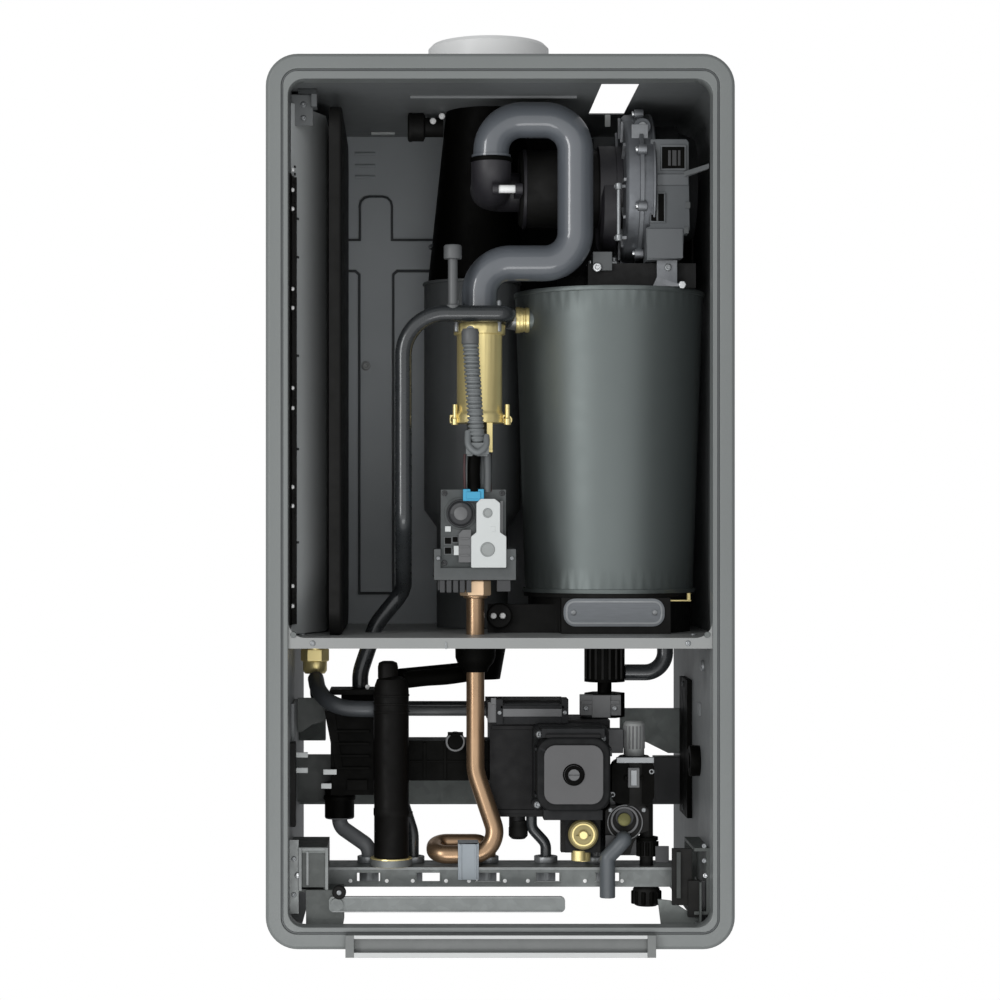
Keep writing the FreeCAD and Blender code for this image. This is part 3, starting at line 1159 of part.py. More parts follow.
def drain_hose():
    middle = "siphon_front + siphon_deep / 2"
    route = [("socket_x", middle, "socket_foot"), ("socket_x", middle, "socket_foot - 9"),
             ("flow_tail", "tail_depth", "collar_seat + 9"), ("flow_tail", "tail_depth", "collar_seat")]
    return node(pipe("hose", route, "hose_radius", "tube_wall", ["hose_bend"] * 2), "drain_hose")


def manifold():
    bar = block("manifold_bar", "siphon_right", "stack_left", "manifold_front",
                "manifold_front + manifold_deep",
                "manifold_foot", "manifold_foot + manifold_tall")
    return node(bar, "manifold")


def plate_exchanger():
    """The plate heat exchanger for hot water, with its header on top and a plug below."""
    stack = block("stack_block", "stack_left", "stack_right", "stack_front", "stack_back", "stack_foot",
                  "stack_top")
    header = block("stack_header", "header_left", "header_right", "header_front", "stack_back", "stack_top",
                   "stack_top + header_tall")
    plug = rod("stack_plug", "8", "18", "20", "stack_front + 10", "stack_foot - 18")
    return node(joined("stack", [stack, header, plug]), "plate_exchanger")


def pump_housing():
    """The cast pump body with the drain body under it."""
    body = new_body("volute_body")
    outline = sketch_on(body, "XZ_Plane", "volute_outline")
    draw_rounded(outline, "-pump_half", "-pump_half", "pump_half", "pump_half + 8", "8")
    pad(body, outline, "stack_front - pump_front", reverse=True)
    place(body, "pump_x", "pump_front", "pump_height")
    drain = block("drain_block", "drain_x - drain_half", "drain_x + drain_half", "pump_front",
                  "stack_front",
                  "drain_foot", "pump_height - pump_half + 1")
    chamber = rod("pump_chamber", "rotor_radius + 1", "volute_deep", "pump_x", "pump_front - 1",
                  "pump_height", "y")
    journal = rod("pump_journal", "shaft_radius + run_gap", "volute_deep + 3", "pump_x", "pump_front",
                  "pump_height",
                  "y")
    seat = rod("cock_hole", "cock_stem + run_gap", "10", "cock_x", "pump_front - 1", "cock_height", "y")
    return node(without("volute", joined("volute_whole", [body, drain]), [chamber, journal, seat]),
                "pump_housing")


def pump_motor():
    """The pump head: a square can with rounded corners, a raised face and the rotor's room."""
    body = new_body("head_body")
    outline = sketch_on(body, "XZ_Plane", "head_outline")
    draw_rounded(outline, "-head_half", "-head_half", "head_half", "head_half", "head_corner")
    solid = pad(body, outline, "pump_front - head_front", reverse=True)
    soften(body, solid, "Fillet", "2.5", in_plane("Y", 0))
    face = sketch_on(body, "XZ_Plane", "head_face")
    draw_rounded(face, "-face_half", "-face_half", "face_half", "face_half", "face_corner")
    pad(body, face, "face_rise")
    place(body, "pump_x", "head_front", "pump_height")
    can = rod("rotor_can", "can_radius + can_gap", "pump_front - can_front + 1", "pump_x", "can_front",
              "pump_height", "y")
    screw_hole = rod("screw_hole", "screw_stem + run_gap", "face_rise + 3", "pump_x",
                     "head_front - face_rise - 1",
                     "pump_height", "y")
    return node(without("head", body, [can, screw_hole]), "pump_motor")


def pump_rotor():
    """The wet rotor, its shaft and the pump wheel in one turning piece."""
    start, finish = "can_front + can_gap", "pump_front - can_gap"
    wheel = "pump_front + can_gap"
    outline = [("0", start), ("can_radius", start), ("can_radius", finish), ("shaft_radius", finish),
               ("shaft_radius", wheel), ("rotor_radius", wheel),
               ("rotor_radius", "pump_front + volute_deep - 4"),
               ("shaft_radius", "pump_front + volute_deep - 2"),
               ("shaft_radius", "pump_front + volute_deep + 2.5"),
               ("0", "pump_front + volute_deep + 2.5")]
    return node(turned("rotor", outline, "pump_x", "0", "pump_height", "y"), "pump_rotor")


def vent_screw():
    face = "(head_front - face_rise - 0.1)"
    outline = [("0", "-screw_rise"), ("screw_radius - 1", "-screw_rise"),
               ("screw_radius", "1 - screw_rise"),
               ("screw_radius", "0"), ("screw_stem", "0"), ("screw_stem", "face_rise + 2"),
               ("0", "face_rise + 2")]
    screw = turned("vent_screw_turned", outline, "pump_x", face, "pump_height", "y")
    slot = block("vent_screw_slot", "pump_x - 5", "pump_x + 5", "head_front - face_rise - screw_rise - 1",
                 "head_front - face_rise - screw_rise + 1.2", "pump_height - 0.8", "pump_height + 0.8")
    return node(without("vent_screw_cut", screw, [slot]), "vent_screw")


def drain_cock():
    """The brass drain cock, with a screwdriver slot in its face."""
    outline = [("0", "-cock_deep"), ("cock_radius - 2", "-cock_deep"), ("cock_radius", "2 - cock_deep"),
               ("cock_radius", "-seat_gap"), ("cock_stem", "-seat_gap"), ("cock_stem", "8"), ("0", "8")]
    disc = turned("cock_disc", outline, "cock_x", "pump_front", "cock_height", "y")
    slot = block("cock_slot", "cock_x - 7", "cock_x + 7", "pump_front - cock_deep - 1",
                 "pump_front - cock_deep + 2",
                 "cock_height - 1.2", "cock_height + 1.2")
    return node(without("cock", disc, [slot]), "drain_cock")


def air_vent():
    outline = [("0", "0"), ("vent_radius", "0"), ("vent_radius", "vent_top - vent_foot - 4"),
               ("vent_radius - 4", "vent_top - vent_foot"), ("cap_stem + run_gap", "vent_top - vent_foot"),
               ("cap_stem + run_gap", "vent_top - vent_foot - cap_stem_deep - 1"),
               ("0", "vent_top - vent_foot - cap_stem_deep - 1")]
    return node(turned("vent", outline, "vent_x", "vent_depth", "vent_foot"), "air_vent")


def vent_cap():
    outline = [("0", "-cap_stem_deep"), ("cap_stem", "-cap_stem_deep"), ("cap_stem", "seat_gap"),
               ("cap_radius", "seat_gap"), ("cap_radius", "cap_top - vent_top - 2"),
               ("cap_radius - 2", "cap_top - vent_top"), ("0", "cap_top - vent_top")]
    return node(turned("cap", outline, "vent_x", "vent_depth", "vent_top"), "vent_cap")


def relief_valve():
    body = block("relief_block", "stack_right", "relief_right", "relief_front",
                 "relief_front + relief_deep",
                 "relief_foot", "vent_foot")
    port = rod("relief_port", "8.5", "4", "(stack_right + relief_right) / 2", "relief_front - 4", "117",
               "y")
    return node(joined("relief", [body, port]), "relief_valve")


def filling_tap():
    tall = "vent_foot - tap_foot"
    outline = [("3 + run_gap", "0"), ("tap_radius", "0"), ("tap_radius", "tap_knob_foot - tap_foot"),
               ("tap_knob", "tap_knob_foot - tap_foot"),
               ("tap_knob", "tap_knob_foot - tap_foot + tap_knob_tall"),
               ("tap_radius", "tap_knob_foot - tap_foot + tap_knob_tall"), ("tap_radius", tall),
               ("0", tall),
               ("0", "11"), ("3 + run_gap", "11")]
    return node(turned("tap", outline, "tap_x", "vent_depth", "tap_foot"), "filling_tap")


def tap_handwheel():
    """The ribbed black handwheel under the filling tap, with its spindle."""
    outline = [("0", "-wheel_tall"), ("wheel_rim - 3", "-wheel_tall"), ("wheel_rim", "3 - wheel_tall"),
               ("wheel_rim", "-8"), ("wheel_rim - 5", "-seat_gap"), ("3", "-seat_gap"), ("3", "10"),
               ("0", "10")]
    return node(turned("handwheel", outline, "tap_x", "vent_depth", "tap_foot"), "tap_handwheel")


def flow_sensor():
    """The black flow sensor under the shelf, its neck and the union that joins it to the stack."""
    can = rod("sensor_can", "sensor_radius", "shelf_under - sensor_foot", "sensor_x", "sensor_depth",
              "sensor_foot")
    neck = rod("sensor_neck_rod", "sensor_neck", "sensor_foot - union_foot", "sensor_x", "sensor_depth",
               "union_foot")
    union = hexagon("sensor_union", "union_radius", "union_tall", "sensor_x", "sensor_depth", "union_foot")
    return node(joined("sensor", [can, neck, union]), "flow_sensor")


def build():
    """Make every sub-part, test it and write it to its own file."""
    side_wall("left_wall", -1)
    side_wall("right_wall", 1)
    for make in (front_frame, top_panel, back_panel, wall_bracket, middle_shelf, rear_crossbars,
                 connection_rail, pipe_tails, hinge_brackets, support_bar, casing_screws, bottom_lip,
                 baffle_panel, wall_strip, flue_collar, flue_cone, test_port_cap, flue_duct,
                 exchanger_jacket, exchanger_coil, burner, burner_plate, exchanger_base, name_plate,
                 fan_scroll, fan_impeller, fan_motor, inlet_silencer, inlet_elbow, mixture_tube, venturi,
                 gas_valve, valve_cover, adjuster_knob, valve_bracket, gas_pipe, signal_tubes, flow_pipe,
                 return_pipe, water_pipes, brass_fittings, condensate_sump, trap_tube, siphon_body,
                 drain_hose, manifold, plate_exchanger, pump_housing, pump_motor, pump_rotor, vent_screw,
                 drain_cock, air_vent, vent_cap, relief_valve, filling_tap, tap_handwheel, flow_sensor):
        make()
    doc.recompute()
    for item in doc.Objects:
        if "Invalid" in item.State or "Error" in item.State:
            raise ValueError(f"{item.Name} failed")
    for part in nodes:
        if part.Shape.isNull() or not part.Shape.isValid():
            raise ValueError(f"{part.Label} has no valid shape")
    os.makedirs("parts", exist_ok=True)
    for part in nodes:
        part.Shape.exportStep(f"parts/{part.Label}.step")


build()
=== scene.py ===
import math

import bmesh
import bpy
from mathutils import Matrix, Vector


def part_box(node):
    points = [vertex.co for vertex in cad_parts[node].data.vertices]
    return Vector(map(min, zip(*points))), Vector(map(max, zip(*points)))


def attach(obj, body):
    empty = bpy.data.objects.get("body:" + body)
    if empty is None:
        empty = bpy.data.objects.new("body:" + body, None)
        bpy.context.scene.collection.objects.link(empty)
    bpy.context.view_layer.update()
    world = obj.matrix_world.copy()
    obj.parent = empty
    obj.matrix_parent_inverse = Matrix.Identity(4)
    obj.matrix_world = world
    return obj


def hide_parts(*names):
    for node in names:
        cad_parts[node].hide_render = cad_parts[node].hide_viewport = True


# A wall-hung condensing gas boiler with its front cover off.
# Places are (x, depth, height) in millimetres: x from the middle of the casing to the right, depth
# behind the front plane and height above the casing's lower edge.

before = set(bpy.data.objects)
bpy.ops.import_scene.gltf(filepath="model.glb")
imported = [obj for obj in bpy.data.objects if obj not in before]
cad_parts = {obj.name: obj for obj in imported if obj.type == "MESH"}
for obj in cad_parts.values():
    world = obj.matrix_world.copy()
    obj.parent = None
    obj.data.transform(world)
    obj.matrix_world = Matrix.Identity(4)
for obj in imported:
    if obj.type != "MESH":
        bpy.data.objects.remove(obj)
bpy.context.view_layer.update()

CASING_DEPTH = 345
CASING_HEIGHT = 840
FIXING_HEIGHT = 780

# The camera stands in front of the casing and looks straight at it. Sizes in its picture are in pixels.
EYE_X, EYE_DEPTH, EYE_HEIGHT = -84.7, -2240, 397
PICTURE_SIDE = 1000
PIXEL_DISTANCE = 2392
MIDDLE_ACROSS, MIDDLE_DOWN = 410, 526
SENSOR_SIDE = 36

# The boiler hangs on a wall, so its floor lies well below and out of the picture.
FLOOR_HEIGHT = -1300
FLOOR_HALF = 2500

SKY_COLOUR, SKY_STRENGTH = (0.97, 0.98, 1.0, 1), 0.33

# Lights: name, place, what it shines at, width and height in metres, and power
LIGHTS = (("front", (-190, -2500, 500), (0, 200, 430), (4.0, 4.0), 37),
          ("left", (-1900, -2000, 850), (0, 170, 430), (0.6, 1.6), 24),
          ("low", (-100, -1750, -650), (0, 60, 100), (1.4, 0.6), 8))


def at(x, depth, height):
    """A place of the casing as a point of the frame, in metres."""
    return Vector((x, depth - CASING_DEPTH, height - FIXING_HEIGHT)) / 1000


def placed(name, data):
    """A new thing in the scene."""
    thing = bpy.data.objects.new(name, data)
    bpy.context.scene.collection.objects.link(thing)
    return thing


def middle(name):
    """The middle of a CAD node's box as x, depth and height, to a tenth of a millimetre."""
    x, depth, height = ((low + high) * 500 for low, high in zip(*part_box(name)))
    return round(x, 1), round(depth + CASING_DEPTH, 1), round(height + FIXING_HEIGHT, 1)


# Materials

BUMP_HEIGHT = 0.0004
WORN_FROM, WORN_TO = 0.52, 0.6


def linear(colour):
    """A screen colour, written like 757978, as a linear one."""
    shares = [part / 255 for part in bytes.fromhex(colour)]
    return (*(share / 12.92 if share <= 0.04045 else ((share + 0.055) / 1.055) ** 2.4
              for share in shares), 1.0)


class Look:
    """A procedural material, put together around one principled shader."""

    def __init__(self, name, colour, rough, metal=0.0, coat=0.0, gloss=0.5, stretch=(1, 1, 1)):
        self.material = bpy.data.materials.new(name)
        self.material.use_nodes = True
        self.tree = self.material.node_tree
        self.shader = self.tree.nodes["Principled BSDF"]
        self.fill(self.shader, {"Metallic": metal, "Roughness": rough, "Specular IOR Level": gloss,
                                "Coat Weight": coat, "Coat Roughness": 0.1})
        self.colour = linear(colour)
        self.rough = rough
        place = self.add("TexCoord", {}, "Object")
        self.place = self.add("Mapping", {"Vector": place, "Scale": stretch})

    def fill(self, node, inputs):
        """Set a node's inputs to plain values, or link them to other nodes' outputs."""
        for key, value in inputs.items():
            if isinstance(value, bpy.types.NodeSocket):
                self.tree.links.new(value, node.inputs[key])
            else:
                node.inputs[key].default_value = value

    def add(self, kind, inputs, output=0, **settings):
        """A new node's output."""
        node = self.tree.nodes.new("ShaderNode" + kind)
        for key, value in settings.items():
            setattr(node, key, value)
        self.fill(node, inputs)
        return node.outputs[output]

    def noise(self, scale, detail=3.0):
        return self.add("TexNoise", {"Scale": scale, "Detail": detail, "Vector": self.place}, "Fac")

    def spread(self, source, low, high, start=0.3, end=0.7):
        return self.add("MapRange", {"Value": source, "From Min": start, "From Max": end, "To Min": low,
                                     "To Max": high})

    def shaded(self, source, amount, start=0.3, end=0.7):
        """The colour is lighter and darker by an amount."""
        light = self.spread(source, 1 - amount, 1 + amount, start, end)
        self.colour = self.add("HueSaturation", {"Value": light, "Color": self.colour})
        return self

    def mixed(self, colour, share):
        """A second colour over the first. Inputs 6 and 7 and output 2 of the node are the colours."""
        self.colour = self.add("Mix", {0: share, 6: self.colour, 7: linear(colour)}, 2, data_type="RGBA")
        return self

    def mottled(self, scale, amount):
        """Soft patches, lighter and darker."""
        return self.shaded(self.noise(scale, 4.0), amount)

    def spangled(self, scale, amount):
        """Flat crystals of slightly different brightness, as on zinc."""
        cells = self.add("TexVoronoi", {"Scale": scale, "Vector": self.place}, "Color")
        return self.shaded(self.add("SeparateColor", {"Color": cells}), amount, 0, 1)

    def stained(self, colour, scale, start, end, most):
        """Patches of a second colour."""
        return self.mixed(colour, self.spread(self.noise(scale, 5.0), 0.0, most, start, end))

    def worn(self, colour, most):
        """Edges that stick out are rubbed to another colour."""
        raised = self.add("NewGeometry", {}, "Pointiness")
        return self.mixed(colour, self.spread(raised, 0.0, most, WORN_FROM, WORN_TO))

    def uneven(self, scale, amount):
        """The gloss varies over the surface."""
        rough = self.spread(self.noise(scale), self.rough - amount, self.rough + amount)
        self.fill(self.shader, {"Roughness": rough})
        return self

    def grained(self, scale, strength, detail=2.0):
        """Fine bumps."""
        bumps = {"Strength": strength, "Distance": BUMP_HEIGHT, "Height": self.noise(scale, detail)}
        self.fill(self.shader, {"Normal": self.add("Bump", bumps)})
        return self

    def made(self):
        self.fill(self.shader, {"Base Color": self.colour})
        return self.material


def finish(name, colour, rough, mottle, uneven, grain, spangle=None, stain=None, worn=None, **shader):
    """A whole material. Its patches, uneven gloss and grain are each a scale and an amount."""
    look = Look(name, colour, rough, **shader)
    if spangle:
        look.spangled(*spangle)
    look.mottled(*mottle).uneven(*uneven).grained(*grain)
    if stain:
        look.stained(*stain)
    if worn:
        look.worn(*worn)
    return look.made()


# Painted and zinc-coated sheet
PAINT = finish("frame_paint", "757978", 0.42, (6, 0.03), (90, 0.06), (1500, 0.12), worn=("9ea0a0", 0.5))
WALL = finish("sheet_paint", "6e7172", 0.5, (5, 0.05), (60, 0.03), (1300, 0.1))
# Lighter than the frame paint: painted light that makes up for the shade deep inside the casing.
LIGHTENED_BACK = finish("back_sheet", "9ea3a6", 0.5, (7, 0.06), (40, 0.08), (900, 0.08))
SHELF = finish("shelf_paint", "929493", 0.42, (9, 0.04), (70, 0.07), (1300, 0.1))
# Dark grey for pressed edges and small marks, and painted shade: round the back panel's raised channel it
# stands for the shade on the channel's sloping sides.
EDGE_AND_SHADE = finish("pressed_edge_and_painted_shade", "3e4142", 0.6, (12, 0.06), (60, 0.08), (900, 0.08), gloss=0.3)
# Much lighter than the wall paint: painted light that makes up for the little light reaching the left
# liner.
LIGHTENED_LINER = finish("liner_paint_lightened", "bec2c2", 0.5, (5, 0.05), (60, 0.08), (1300, 0.1))
# A light copy of the lip paint: painted highlights along the top and bottom flanges of the bottom lip.
LIP_HIGHLIGHT = finish("lip_painted_highlight", "c2c4c3", 0.4, (9, 0.03), (70, 0.07), (1300, 0.08))
LIP_WEB = finish("lip_web", "707372", 0.45, (9, 0.04), (70, 0.07), (1300, 0.1))
WHITE = finish("white_paint", "f4f5f4", 0.4, (10, 0.03), (70, 0.06), (1200, 0.06))
ZINC = finish("zinc_sheet", "6a6e6d", 0.45, (25, 0.06), (120, 0.08), (700, 0.08), metal=0.5,
    spangle=(150, 0.08), worn=("a8aaaa", 0.5))
BAR = finish("bar_zinc", "747877", 0.42, (25, 0.04), (120, 0.06), (700, 0.08), metal=0.4,
    spangle=(150, 0.06))
PLATE_GREY = finish("plate_grey", "484c4a", 0.55, (25, 0.08), (120, 0.08), (700, 0.08),
    spangle=(150, 0.08))
DARK_ZINC = finish("dark_zinc", "666b69", 0.45, (25, 0.08), (100, 0.08), (700, 0.1), metal=0.5,
    spangle=(130, 0.08), worn=("787a78", 0.4))
LOW_PLATE = finish("low_plate", "323634", 0.55, (25, 0.08), (100, 0.08), (700, 0.1), spangle=(130, 0.08))

# Metals
BRIGHT = Look("bright_steel", "cdcfd0", 0.22, metal=0.95).uneven(300, 0.06).grained(900, 0.05).made()
STEEL = finish("dull_steel", "96999b", 0.4, (60, 0.06), (200, 0.08), (800, 0.08), metal=0.6)
PLATE = finish("plate_metal", "7a7e82", 0.42, (60, 0.06), (200, 0.08), (900, 0.12), metal=0.45,
    stretch=(1, 1, 14))
JACKET = finish("jacket_steel", "686f6e", 0.46, (14, 0.015), (50, 0.02), (900, 0.02), metal=0.6)
ALLOY = finish("cast_alloy", "66696d", 0.48, (45, 0.12), (160, 0.1), (420, 0.35, 5), metal=0.7,
    worn=("b0b2b4", 0.6))
BURNER = finish("burner_alloy", "0e0e0e", 0.65, (40, 0.12), (150, 0.1), (420, 0.35, 5), gloss=0.2,
    worn=("303030", 0.4))
CAST = finish("pump_cast", "121314", 0.62, (40, 0.1), (120, 0.1), (420, 0.35, 5), gloss=0.2,
    worn=("38393b", 0.4))
VALVE = finish("valve_alloy", "424646", 0.5, (60, 0.08), (150, 0.08), (500, 0.25, 4), metal=0.45,
    worn=("7e8081", 0.5))
STACK = finish("stack_steel", "121213", 0.6, (30, 0.08), (90, 0.08), (900, 0.15), gloss=0.25)
PIPE = finish("pipe_steel", "323537", 0.3, (35, 0.06), (140, 0.08), (900, 0.06), metal=0.3, coat=0.5)
DARK_PIPE = finish("pipe_sleeve", "3e4144", 0.4, (35, 0.06), (140, 0.08), (900, 0.08), metal=0.2)
BRASS = finish("brass", "f0de9e", 0.34, (30, 0.03), (120, 0.05), (700, 0.04), metal=0.7)
COCK = finish("cock_brass", "92875c", 0.36, (30, 0.03), (120, 0.05), (700, 0.04), metal=0.4)
NUT = finish("copper_nut", "eeceaa", 0.38, (30, 0.03), (120, 0.05), (700, 0.04), metal=0.5)
DARK_BRASS = finish("dark_brass", "605e38", 0.4, (50, 0.08), (200, 0.08), (800, 0.08), metal=0.6)
COPPER = finish("copper", "aa8d70", 0.3, (30, 0.04), (120, 0.06), (600, 0.04), metal=0.85,
    stretch=(1, 1, 0.3), stain=("966442", 22, 0.55, 0.8, 0.4))

# Plastics and rubber
BLACK = finish("black_plastic", "040403", 0.55, (30, 0.2), (80, 0.1), (1300, 0.2), gloss=0.05,
    worn=("181816", 0.3))
TRAP_BLACK = finish("trap_black", "090807", 0.55, (30, 0.2), (80, 0.1), (1300, 0.2), gloss=0.12,
    worn=("22211f", 0.3))
SOFT_BLACK = finish("soft_black", "161615", 0.6, (30, 0.15), (80, 0.1), (1300, 0.2), gloss=0.15,
    worn=("2e2d2c", 0.3))
MAT = finish("fan_mat", "1a1a19", 0.8, (30, 0.15), (80, 0.1), (900, 0.4, 6), gloss=0.15)
MOTOR = finish("motor_plastic", "44484b", 0.5, (20, 0.05), (90, 0.08), (1400, 0.15), worn=("808385", 0.5))
# A darker copy of the motor plastic: painted shade on the fan motor's body.
MOTOR_SHADE = finish("motor_shade", "161718", 0.55, (20, 0.05), (90, 0.08), (1400, 0.15), gloss=0.3)
DUCT = finish("duct_plastic", "545758", 0.55, (14, 0.08), (60, 0.08), (1100, 0.15))
ELBOW = finish("elbow_plastic", "262529", 0.5, (20, 0.08), (70, 0.08), (1300, 0.18))
TUBE = finish("tube_plastic", "585d63", 0.45, (16, 0.03), (60, 0.04), (900, 0.03), coat=1.0)
VENT_GREY = finish("vent_grey", "5c5e5f", 0.45, (25, 0.04), (90, 0.07), (1400, 0.12))
GREY = finish("grey_plastic", "626364", 0.45, (25, 0.04), (90, 0.07), (1400, 0.12))
DARK = finish("dark_plastic", "2e2f31", 0.5, (25, 0.08), (80, 0.08), (1300, 0.18), gloss=0.4,
    worn=("545556", 0.5))
SPILL = finish("spill_grey", "54595d", 0.38, (25, 0.05), (90, 0.07), (1400, 0.1))
FACE = finish("pump_face", "525253", 0.45, (25, 0.03), (90, 0.06), (1400, 0.1))
CAP = finish("cap_grey", "888a89", 0.5, (60, 0.08), (90, 0.07), (1400, 0.12))
COVER_MARK = finish("cover_mark", "969a99", 0.5, (60, 0.04), (90, 0.06), (1400, 0.1))
PALE = finish("pale_plastic", "ccd0cf", 0.42, (30, 0.02), (90, 0.06), (1400, 0.1))
CLIP = finish("clip_plastic", "969ea4", 0.45, (25, 0.04), (90, 0.07), (1400, 0.1))
CYAN = finish("cyan_plastic", "3e9ec4", 0.4, (80, 0.05), (150, 0.06), (1400, 0.1))
RED_WIRE = finish("red_wire", "3e1e20", 0.45, (120, 0.08), (200, 0.08), (1500, 0.1))
RUBBER = finish("tube_rubber", "707475", 0.55, (40, 0.06), (90, 0.08), (1500, 0.2))
HOSE = finish("hose_rubber", "626466", 0.5, (40, 0.06), (90, 0.08), (1500, 0.2))


# Pieces

def around(u, v, radius, turns):
    """Places on a circle, at angles in degrees."""
    return [(u + radius * math.cos(math.radians(turn)), v + radius * math.sin(math.radians(turn)))
            for turn in turns]


def rounded(x0, h0, x1, h1, radius, steps=5):
    """The outline of a rectangle with rounded corners."""
    outline = []
    for x, height, start in ((x1 - radius, h0 + radius, -90), (x1 - radius, h1 - radius, 0),
                             (x0 + radius, h1 - radius, 90), (x0 + radius, h0 + radius, 180)):
        outline += around(x, height, radius, [start + 90 * step / steps for step in range(steps + 1)])
    return outline


def grown(outline, by):
    """An outline moved outwards by a distance."""
    count = len(outline)
    area = sum(outline[i - 1][0] * outline[i][1] - outline[i][0] * outline[i - 1][1] for i in range(count))
    side = 1 if area > 0 else -1
    moved = []
    for i in range(count):
        before, here, after = (Vector(outline[j % count]) for j in (i - 1, i, i + 1))
        first, second = (here - before).normalized(), (after - here).normalized()
        away = (Vector((first.y, -first.x)) + Vector((second.y, -second.x))) * side
        away.normalize()
        moved.append(tuple(here + away * by / max(0.5, away.dot(Vector((first.y, -first.x))) * side)))
    return moved


def smooth(points, steps):
    """More points along a soft line through a few."""
    ends = [points[0] * 2 - points[1]] + points + [points[-1] * 2 - points[-2]]
    line = []
    for a, b, c, d in zip(ends, ends[1:], ends[2:], ends[3:]):
        for step in range(steps):
            t = step / steps
            line.append((b * 2 + (c - a) * t + (a * 2 - b * 5 + c * 4 - d) * t ** 2
                         + (b * 3 - a - c * 3 + d) * t ** 3) / 2)
    return line + [points[-1]]


def facing(axis, u, v, along):
    """A place from two distances across an axis and one along it."""
    return {"x": (along, u, v), "y": (u, along, v), "z": (u, v, along)}[axis]


def bevel(thing, edge):
    made = thing.modifiers.new("Edges", "BEVEL")
    made.width = edge / 1000
    made.segments = 2
    made.limit_method = "ANGLE"
    made.angle_limit = math.radians(38)
    made.harden_normals = True


PIECES = []


class Piece:
    """One visible piece, gathered from several solids."""

    def __init__(self, name, slot="black_plastic", edge=0.3, body="casing", replaces=()):
        self.name, self.slot, self.edge, self.body, self.replaces = name, slot, edge, body, replaces
        self.mesh = bmesh.new()
        self.looks = []
        PIECES.append(self)

    def rings(self, rings, look, closed=False):
        """A skin over rings of places with equal numbers of points, capped unless it closes on itself."""
        if look not in self.looks:
            self.looks.append(look)
        made = [[self.mesh.verts.new(at(*spot)) for spot in ring] for ring in rings]
        pairs = list(zip(made, made[1:])) + ([(made[-1], made[0])] if closed else [])
        count = len(made[0])
        faces = [(low[i], low[(i + 1) % count], high[(i + 1) % count], high[i])
                 for low, high in pairs for i in range(count)]
        if not closed:
            faces += [made[0][::-1], made[-1]]
        for corners in faces:
            self.mesh.faces.new(corners).material_index = self.looks.index(look)

    def prism(self, outline, near, far, look, axis="y"):
        """An outline pushed along an axis. It's (x, height), or (depth, height) on x, (x, depth) on z."""
        self.rings([[facing(axis, u, v, along) for u, v in outline] for along in (near, far)], look)

    def slabs(self, look, *boxes):
        """Blocks, each from its two x, two depths and two heights."""
        for left, right, near, far, foot, top in boxes:
            self.prism([(left, foot), (right, foot), (right, top), (left, top)], near, far, look)

    def lathe(self, outline, spot, axis, look, sides=32, closed=False):
        """A round solid from a place: its outline is (radius, distance along the axis)."""
        turns = [360 * i / sides for i in range(sides)]
        self.rings([[tuple(map(sum, zip(spot, facing(axis, u, v, along))))
                     for u, v in around(0, 0, radius, turns)] for radius, along in outline], look, closed)

    def turned(self, outline, spot, axis, look, sides=32, bore=0):
        """A round solid with flat ends, down to its axis or to a bore."""
        outline = [(bore, outline[0][1]), *outline, (bore, outline[-1][1])]
        self.lathe(outline, spot, axis, look, sides, bore > 0)

    def rod(self, radius, length, spot, axis, look, sides=24):
        self.turned([(radius, 0), (radius, length)], spot, axis, look, sides)

    def ring(self, inner, outer, length, spot, axis, look, sides=40, slope=0):
        """A ring whose ends may slope."""
        outline = [(inner, 0), (outer, slope), (outer, length - slope), (inner, length)]
        self.lathe(outline, spot, axis, look, sides, closed=True)

    def screw(self, spot, radius, tall, look=STEEL, axis="y", sign=-1, drive=True):
        """A domed screw head that stands out along an axis, with a hollow for the driver."""
        outline = [(1, 0), (1, 0.45), (0.8, 0.85), (0.45, 1)] + ([(0.4, 0.55)] if drive else [])
        self.turned([(radius * share, sign * tall * rise) for share, rise in outline], spot, axis, look, 18)

    def hexagon(self, spot, axis, radius, outline, look):
        """A six-sided solid: its outline is (share of the radius, distance along the axis)."""
        self.lathe([(radius * share, along) for share, along in outline], spot, axis, look, 6)

    def tube(self, places, radius, look, sides=14, steps=8):
        """A round tube with closed ends along a soft line."""
        line = smooth([Vector(place) for place in places], steps)
        ahead = (line[1] - line[0]).normalized()
        side = ahead.orthogonal().normalized()
        rings = []
        for i, spot in enumerate(line):
            last, later = line[max(i - 1, 0)], line[min(i + 1, len(line) - 1)]
            turn = ahead.rotation_difference((later - last).normalized())
            ahead = (later - last).normalized()
            side = (turn @ side).normalized()
            other = ahead.cross(side)
            rings.append([tuple(spot + (side * u + other * v) * radius)
                          for u, v in around(0, 0, 1, [360 * j / sides for j in range(sides)])])
        self.rings(rings, look)

    def done(self):
        bmesh.ops.remove_doubles(self.mesh, verts=self.mesh.verts, dist=1e-7)
        bmesh.ops.recalc_face_normals(self.mesh, faces=self.mesh.faces)
        data = bpy.data.meshes.new(self.name)
        self.mesh.to_mesh(data)
        self.mesh.free()
        for look in self.looks:
            data.materials.append(look)
        data.shade_smooth()
        data.set_sharp_from_angle(angle=math.radians(35))
        thing = placed(self.name, data)
        if self.edge:
            bevel(thing, self.edge)
        if self.replaces:
            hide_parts(*self.replaces)
        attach(thing, self.body)


def set_camera():
    camera = bpy.data.cameras.new("camera")
    camera.lens = SENSOR_SIDE * PIXEL_DISTANCE / PICTURE_SIDE
    camera.sensor_width = SENSOR_SIDE
    camera.shift_x = (PICTURE_SIDE / 2 - MIDDLE_ACROSS) / PICTURE_SIDE
    camera.shift_y = (MIDDLE_DOWN - PICTURE_SIDE / 2) / PICTURE_SIDE
    camera.clip_end = 200
    eye = placed("camera", camera)
    eye.location = at(EYE_X, EYE_DEPTH, EYE_HEIGHT)
    eye.rotation_euler = (math.pi / 2, 0, 0)
    bpy.context.scene.camera = eye
    bpy.context.scene.view_settings.view_transform = "Standard"


